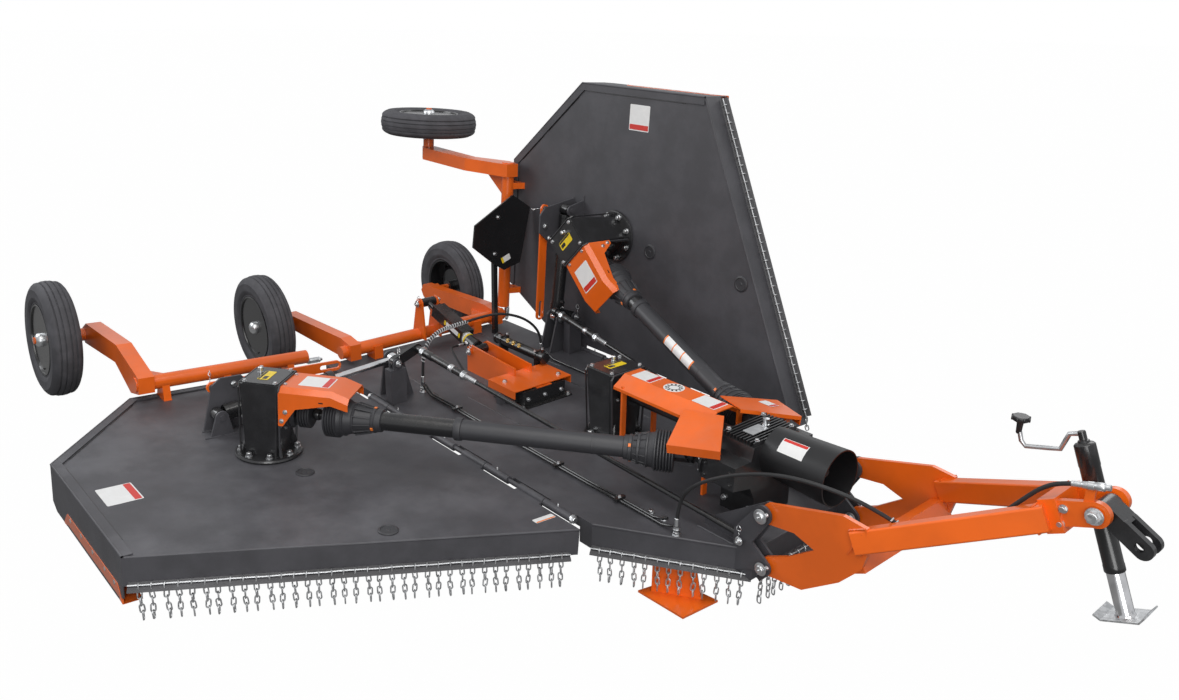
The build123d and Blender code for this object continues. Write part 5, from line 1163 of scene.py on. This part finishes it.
class CUTTER_OT_labels(bpy.types.Operator):
    """Stick the blank labels where the photograph shows labels"""
    bl_idname = "cutter.labels"
    bl_label = "Blank labels"

    def execute(self, context):
        films = "white_film yellow_film red_film orange_film black_film"
        aside = spin(-pi / 2, "Z")
        for name, body, place in BOXES:
            top = Shape()
            label(top, place @ move(-0.005, 0, BOX_TOP + 0.0052) @ spin(pi / 2, "Z"), 0.118, 0.052, 1, 4)
            if name != "centre":
                label(top, place @ move(0.245, 0, 0.3852) @ aside, 0.130, 0.150)
            top.piece("labels_gearbox_" + name, body, films)
        roof, roof_z = Shape(), 0.0993
        label(roof, move(-1.060, 0, roof_z) @ aside, 0.100, 0.130)
        label(roof, move(-0.655, 0, roof_z) @ aside, 0.100, 0.140)
        label(roof, move(-0.528, 0.278, 0.0595) @ spin(-radians(10), "X") @ aside, 0.060, 0.080)
        disc = move(-0.881, 0, roof_z)
        roof.lathe([(0.052, 0), (0.052, 0.0008), (0, 0.0008)], disc, 48)
        for k in range(12):
            roof.slab((0.014, 0.009, 0.0006), disc @ spin(tau * k / 12, "Z") @ move(0.038, 0, 0.0012), 4, 0.003)
        roof.hoop(0.027, 0.0006, 0.002, 36, 4, disc)
        roof.piece("labels_centre_shield", "centre", films)
        for name in SIDES:
            deck, wing = Shape(), wing_frame(name)
            if name == "right":
                label(deck, wing @ move(-2.040, -1.512, 0.0002), 0.180, 0.150)
                label(deck, wing @ move(-0.852, -0.105, 0.0002) @ aside, 0.110, 0.035, 0, 3)
            else:
                label(deck, wing @ move(-1.985, 1.510, 0.0002) @ spin(pi, "Z"), 0.160, 0.148)
            deck.piece("labels_wing_" + name, "wing_" + name, films)
        tube, cone = Shape(), Shape()
        near, far = driveline("left")
        line = facing(near, far - near)
        towards = line.inverted() @ Vector((2.04, -3.23, 1.91))
        centre = atan2(towards.y, towards.x) - 0.35
        cuts = [0.50, 0.51, 0.585, 0.593, 0.665, 0.673, 0.745, 0.755]
        for k, (first, last) in enumerate(zip(cuts, cuts[1:])):
            wrap(tube, [(0.0486, first), (0.0486, last)], centre - 0.55, centre + 0.55, 0 if k % 2 else 3, line)
        tube.piece("labels_drive_tube", "drive_tube_left", films)
        ahead = Matrix(((0, 0, 1, 0), (0, 1, 0, 0), (1, 0, 0, 0), (0, 0, 0, 1)))
        for paint, first, last, low, high, lift in ((0, -0.190, -0.060, -1.02, -0.42, 0.0006),
                                                    (2, -0.186, -0.064, -0.56, -0.44, 0.0011)):
            edges = [(0.112 + 0.015 * (x + 0.2655) / 0.3315 + lift, x) for x in (first, last)]
            wrap(cone, edges, low, high, paint, ahead, -1)
        cone.piece("labels_input_shield", "centre", films)
        return {"FINISHED"}


# Stage

LAMPS = [
    # place, aim, width, power, colour
    ((1.0, -2.0, 5.2), (-1.6, 0.0, -0.3), 5.0, 225, (1.0, 0.98, 0.95)),
    ((4.5, -5.0, 1.7), (-0.8, 0.0, -0.2), 3.6, 185, (1.0, 1.0, 1.0)),
    ((-6.5, -3.5, 3.2), (-2.4, 0.0, 0.2), 3.0, 110, (0.96, 0.98, 1.0)),
    ((-1.5, 5.5, 3.8), (-2.0, 0.0, 0.0), 3.5, 70, (1.0, 1.0, 1.0)),
]


class CUTTER_OT_stage(bpy.types.Operator):
    """Set the pale floor, the white surround and the soft lamps"""
    bl_idname = "cutter.stage"
    bl_label = "Stage"

    def execute(self, context):
        scene = context.scene
        scene.view_settings.view_transform = "Standard"
        scene.world = bpy.data.worlds.new("surround")
        sky = Nodes(scene.world)
        soft = sky.node("ShaderNodeBackground", Color=(0.92, 0.95, 1), Strength=0.42)
        white = sky.node("ShaderNodeBackground", Color=(1, 1, 1), Strength=1)
        sky.node("ShaderNodeOutputWorld", Surface=sky.mix(sky.rays(Camera=1, Transmission=1, Glossy=0.40), soft, white))
        for point, aim, width, power, colour in LAMPS:
            data = bpy.data.lights.new("lamp", "AREA")
            data.shape, data.size, data.energy, data.color = "SQUARE", width, power, colour
            lamp = bpy.data.objects.new("lamp", data)
            scene.collection.objects.link(lamp)
            lamp.matrix_world = facing(point, Vector(point) - Vector(aim))
        low, floor = CAD_BOX[0][2] - 0.0005, Shape()
        floor.lathe([(60, low), (0, low)], Matrix.Identity(4), 64)
        mesh = bpy.data.meshes.new("floor")
        mesh.from_pydata(floor.corners, [], floor.faces)
        plate = bpy.data.objects.new("floor", mesh)
        scene.collection.objects.link(plate)
        finish = Finish("floor_paint", Roughness=0.9, Specular_IOR_Level=0.1, Base_Color=(0.86, 0.86, 0.86))
        glow = finish.node("ShaderNodeEmission", Color=(1, 1, 1), Strength=1.24)
        seen = finish.mix(finish.rays(Camera=0.80, Glossy=0.20), finish.shader, glow)
        finish.feed(finish.output.inputs["Surface"], seen)
        mesh.materials.append(finish.material)
        return {"FINISHED"}


class CUTTER_PT_panel(bpy.types.Panel):
    """Colours, sizes and steps of the cutter"""
    bl_label = "Flex-wing cutter"
    bl_idname = "CUTTER_PT_panel"
    bl_space_type = "VIEW_3D"
    bl_region_type = "UI"
    bl_category = "Cutter"

    def draw(self, context):
        layout = self.layout
        for group in (context.scene.cutter_colours, context.scene.cutter_sizes):
            for name in group.bl_rna.properties.keys():
                if name not in ("rna_type", "name"):
                    layout.prop(group, name)
        for step in STEPS:
            layout.operator(step.bl_idname)


STEPS = [CUTTER_OT_camera, CUTTER_OT_finishes, CUTTER_OT_hoses, CUTTER_OT_chains, CUTTER_OT_shoes, CUTTER_OT_wheels,
         CUTTER_OT_gearboxes, CUTTER_OT_drivelines, CUTTER_OT_hoods, CUTTER_OT_decks, CUTTER_OT_tongue,
         CUTTER_OT_cylinders, CUTTER_OT_labels, CUTTER_OT_stage]
CLASSES = [CutterColours, CutterSizes, *STEPS, CUTTER_PT_panel]


def register():
    for cls in CLASSES:
        bpy.utils.register_class(cls)
    bpy.types.Scene.cutter_colours = PointerProperty(type=CutterColours)
    bpy.types.Scene.cutter_sizes = PointerProperty(type=CutterSizes)


def unregister():
    del bpy.types.Scene.cutter_sizes
    del bpy.types.Scene.cutter_colours
    for cls in reversed(CLASSES):
        bpy.utils.unregister_class(cls)


def main():
    register()
    for step in STEPS:
        group, name = step.bl_idname.split(".")
        getattr(getattr(bpy.ops, group), name)()


if __name__ == "__main__":
    main()
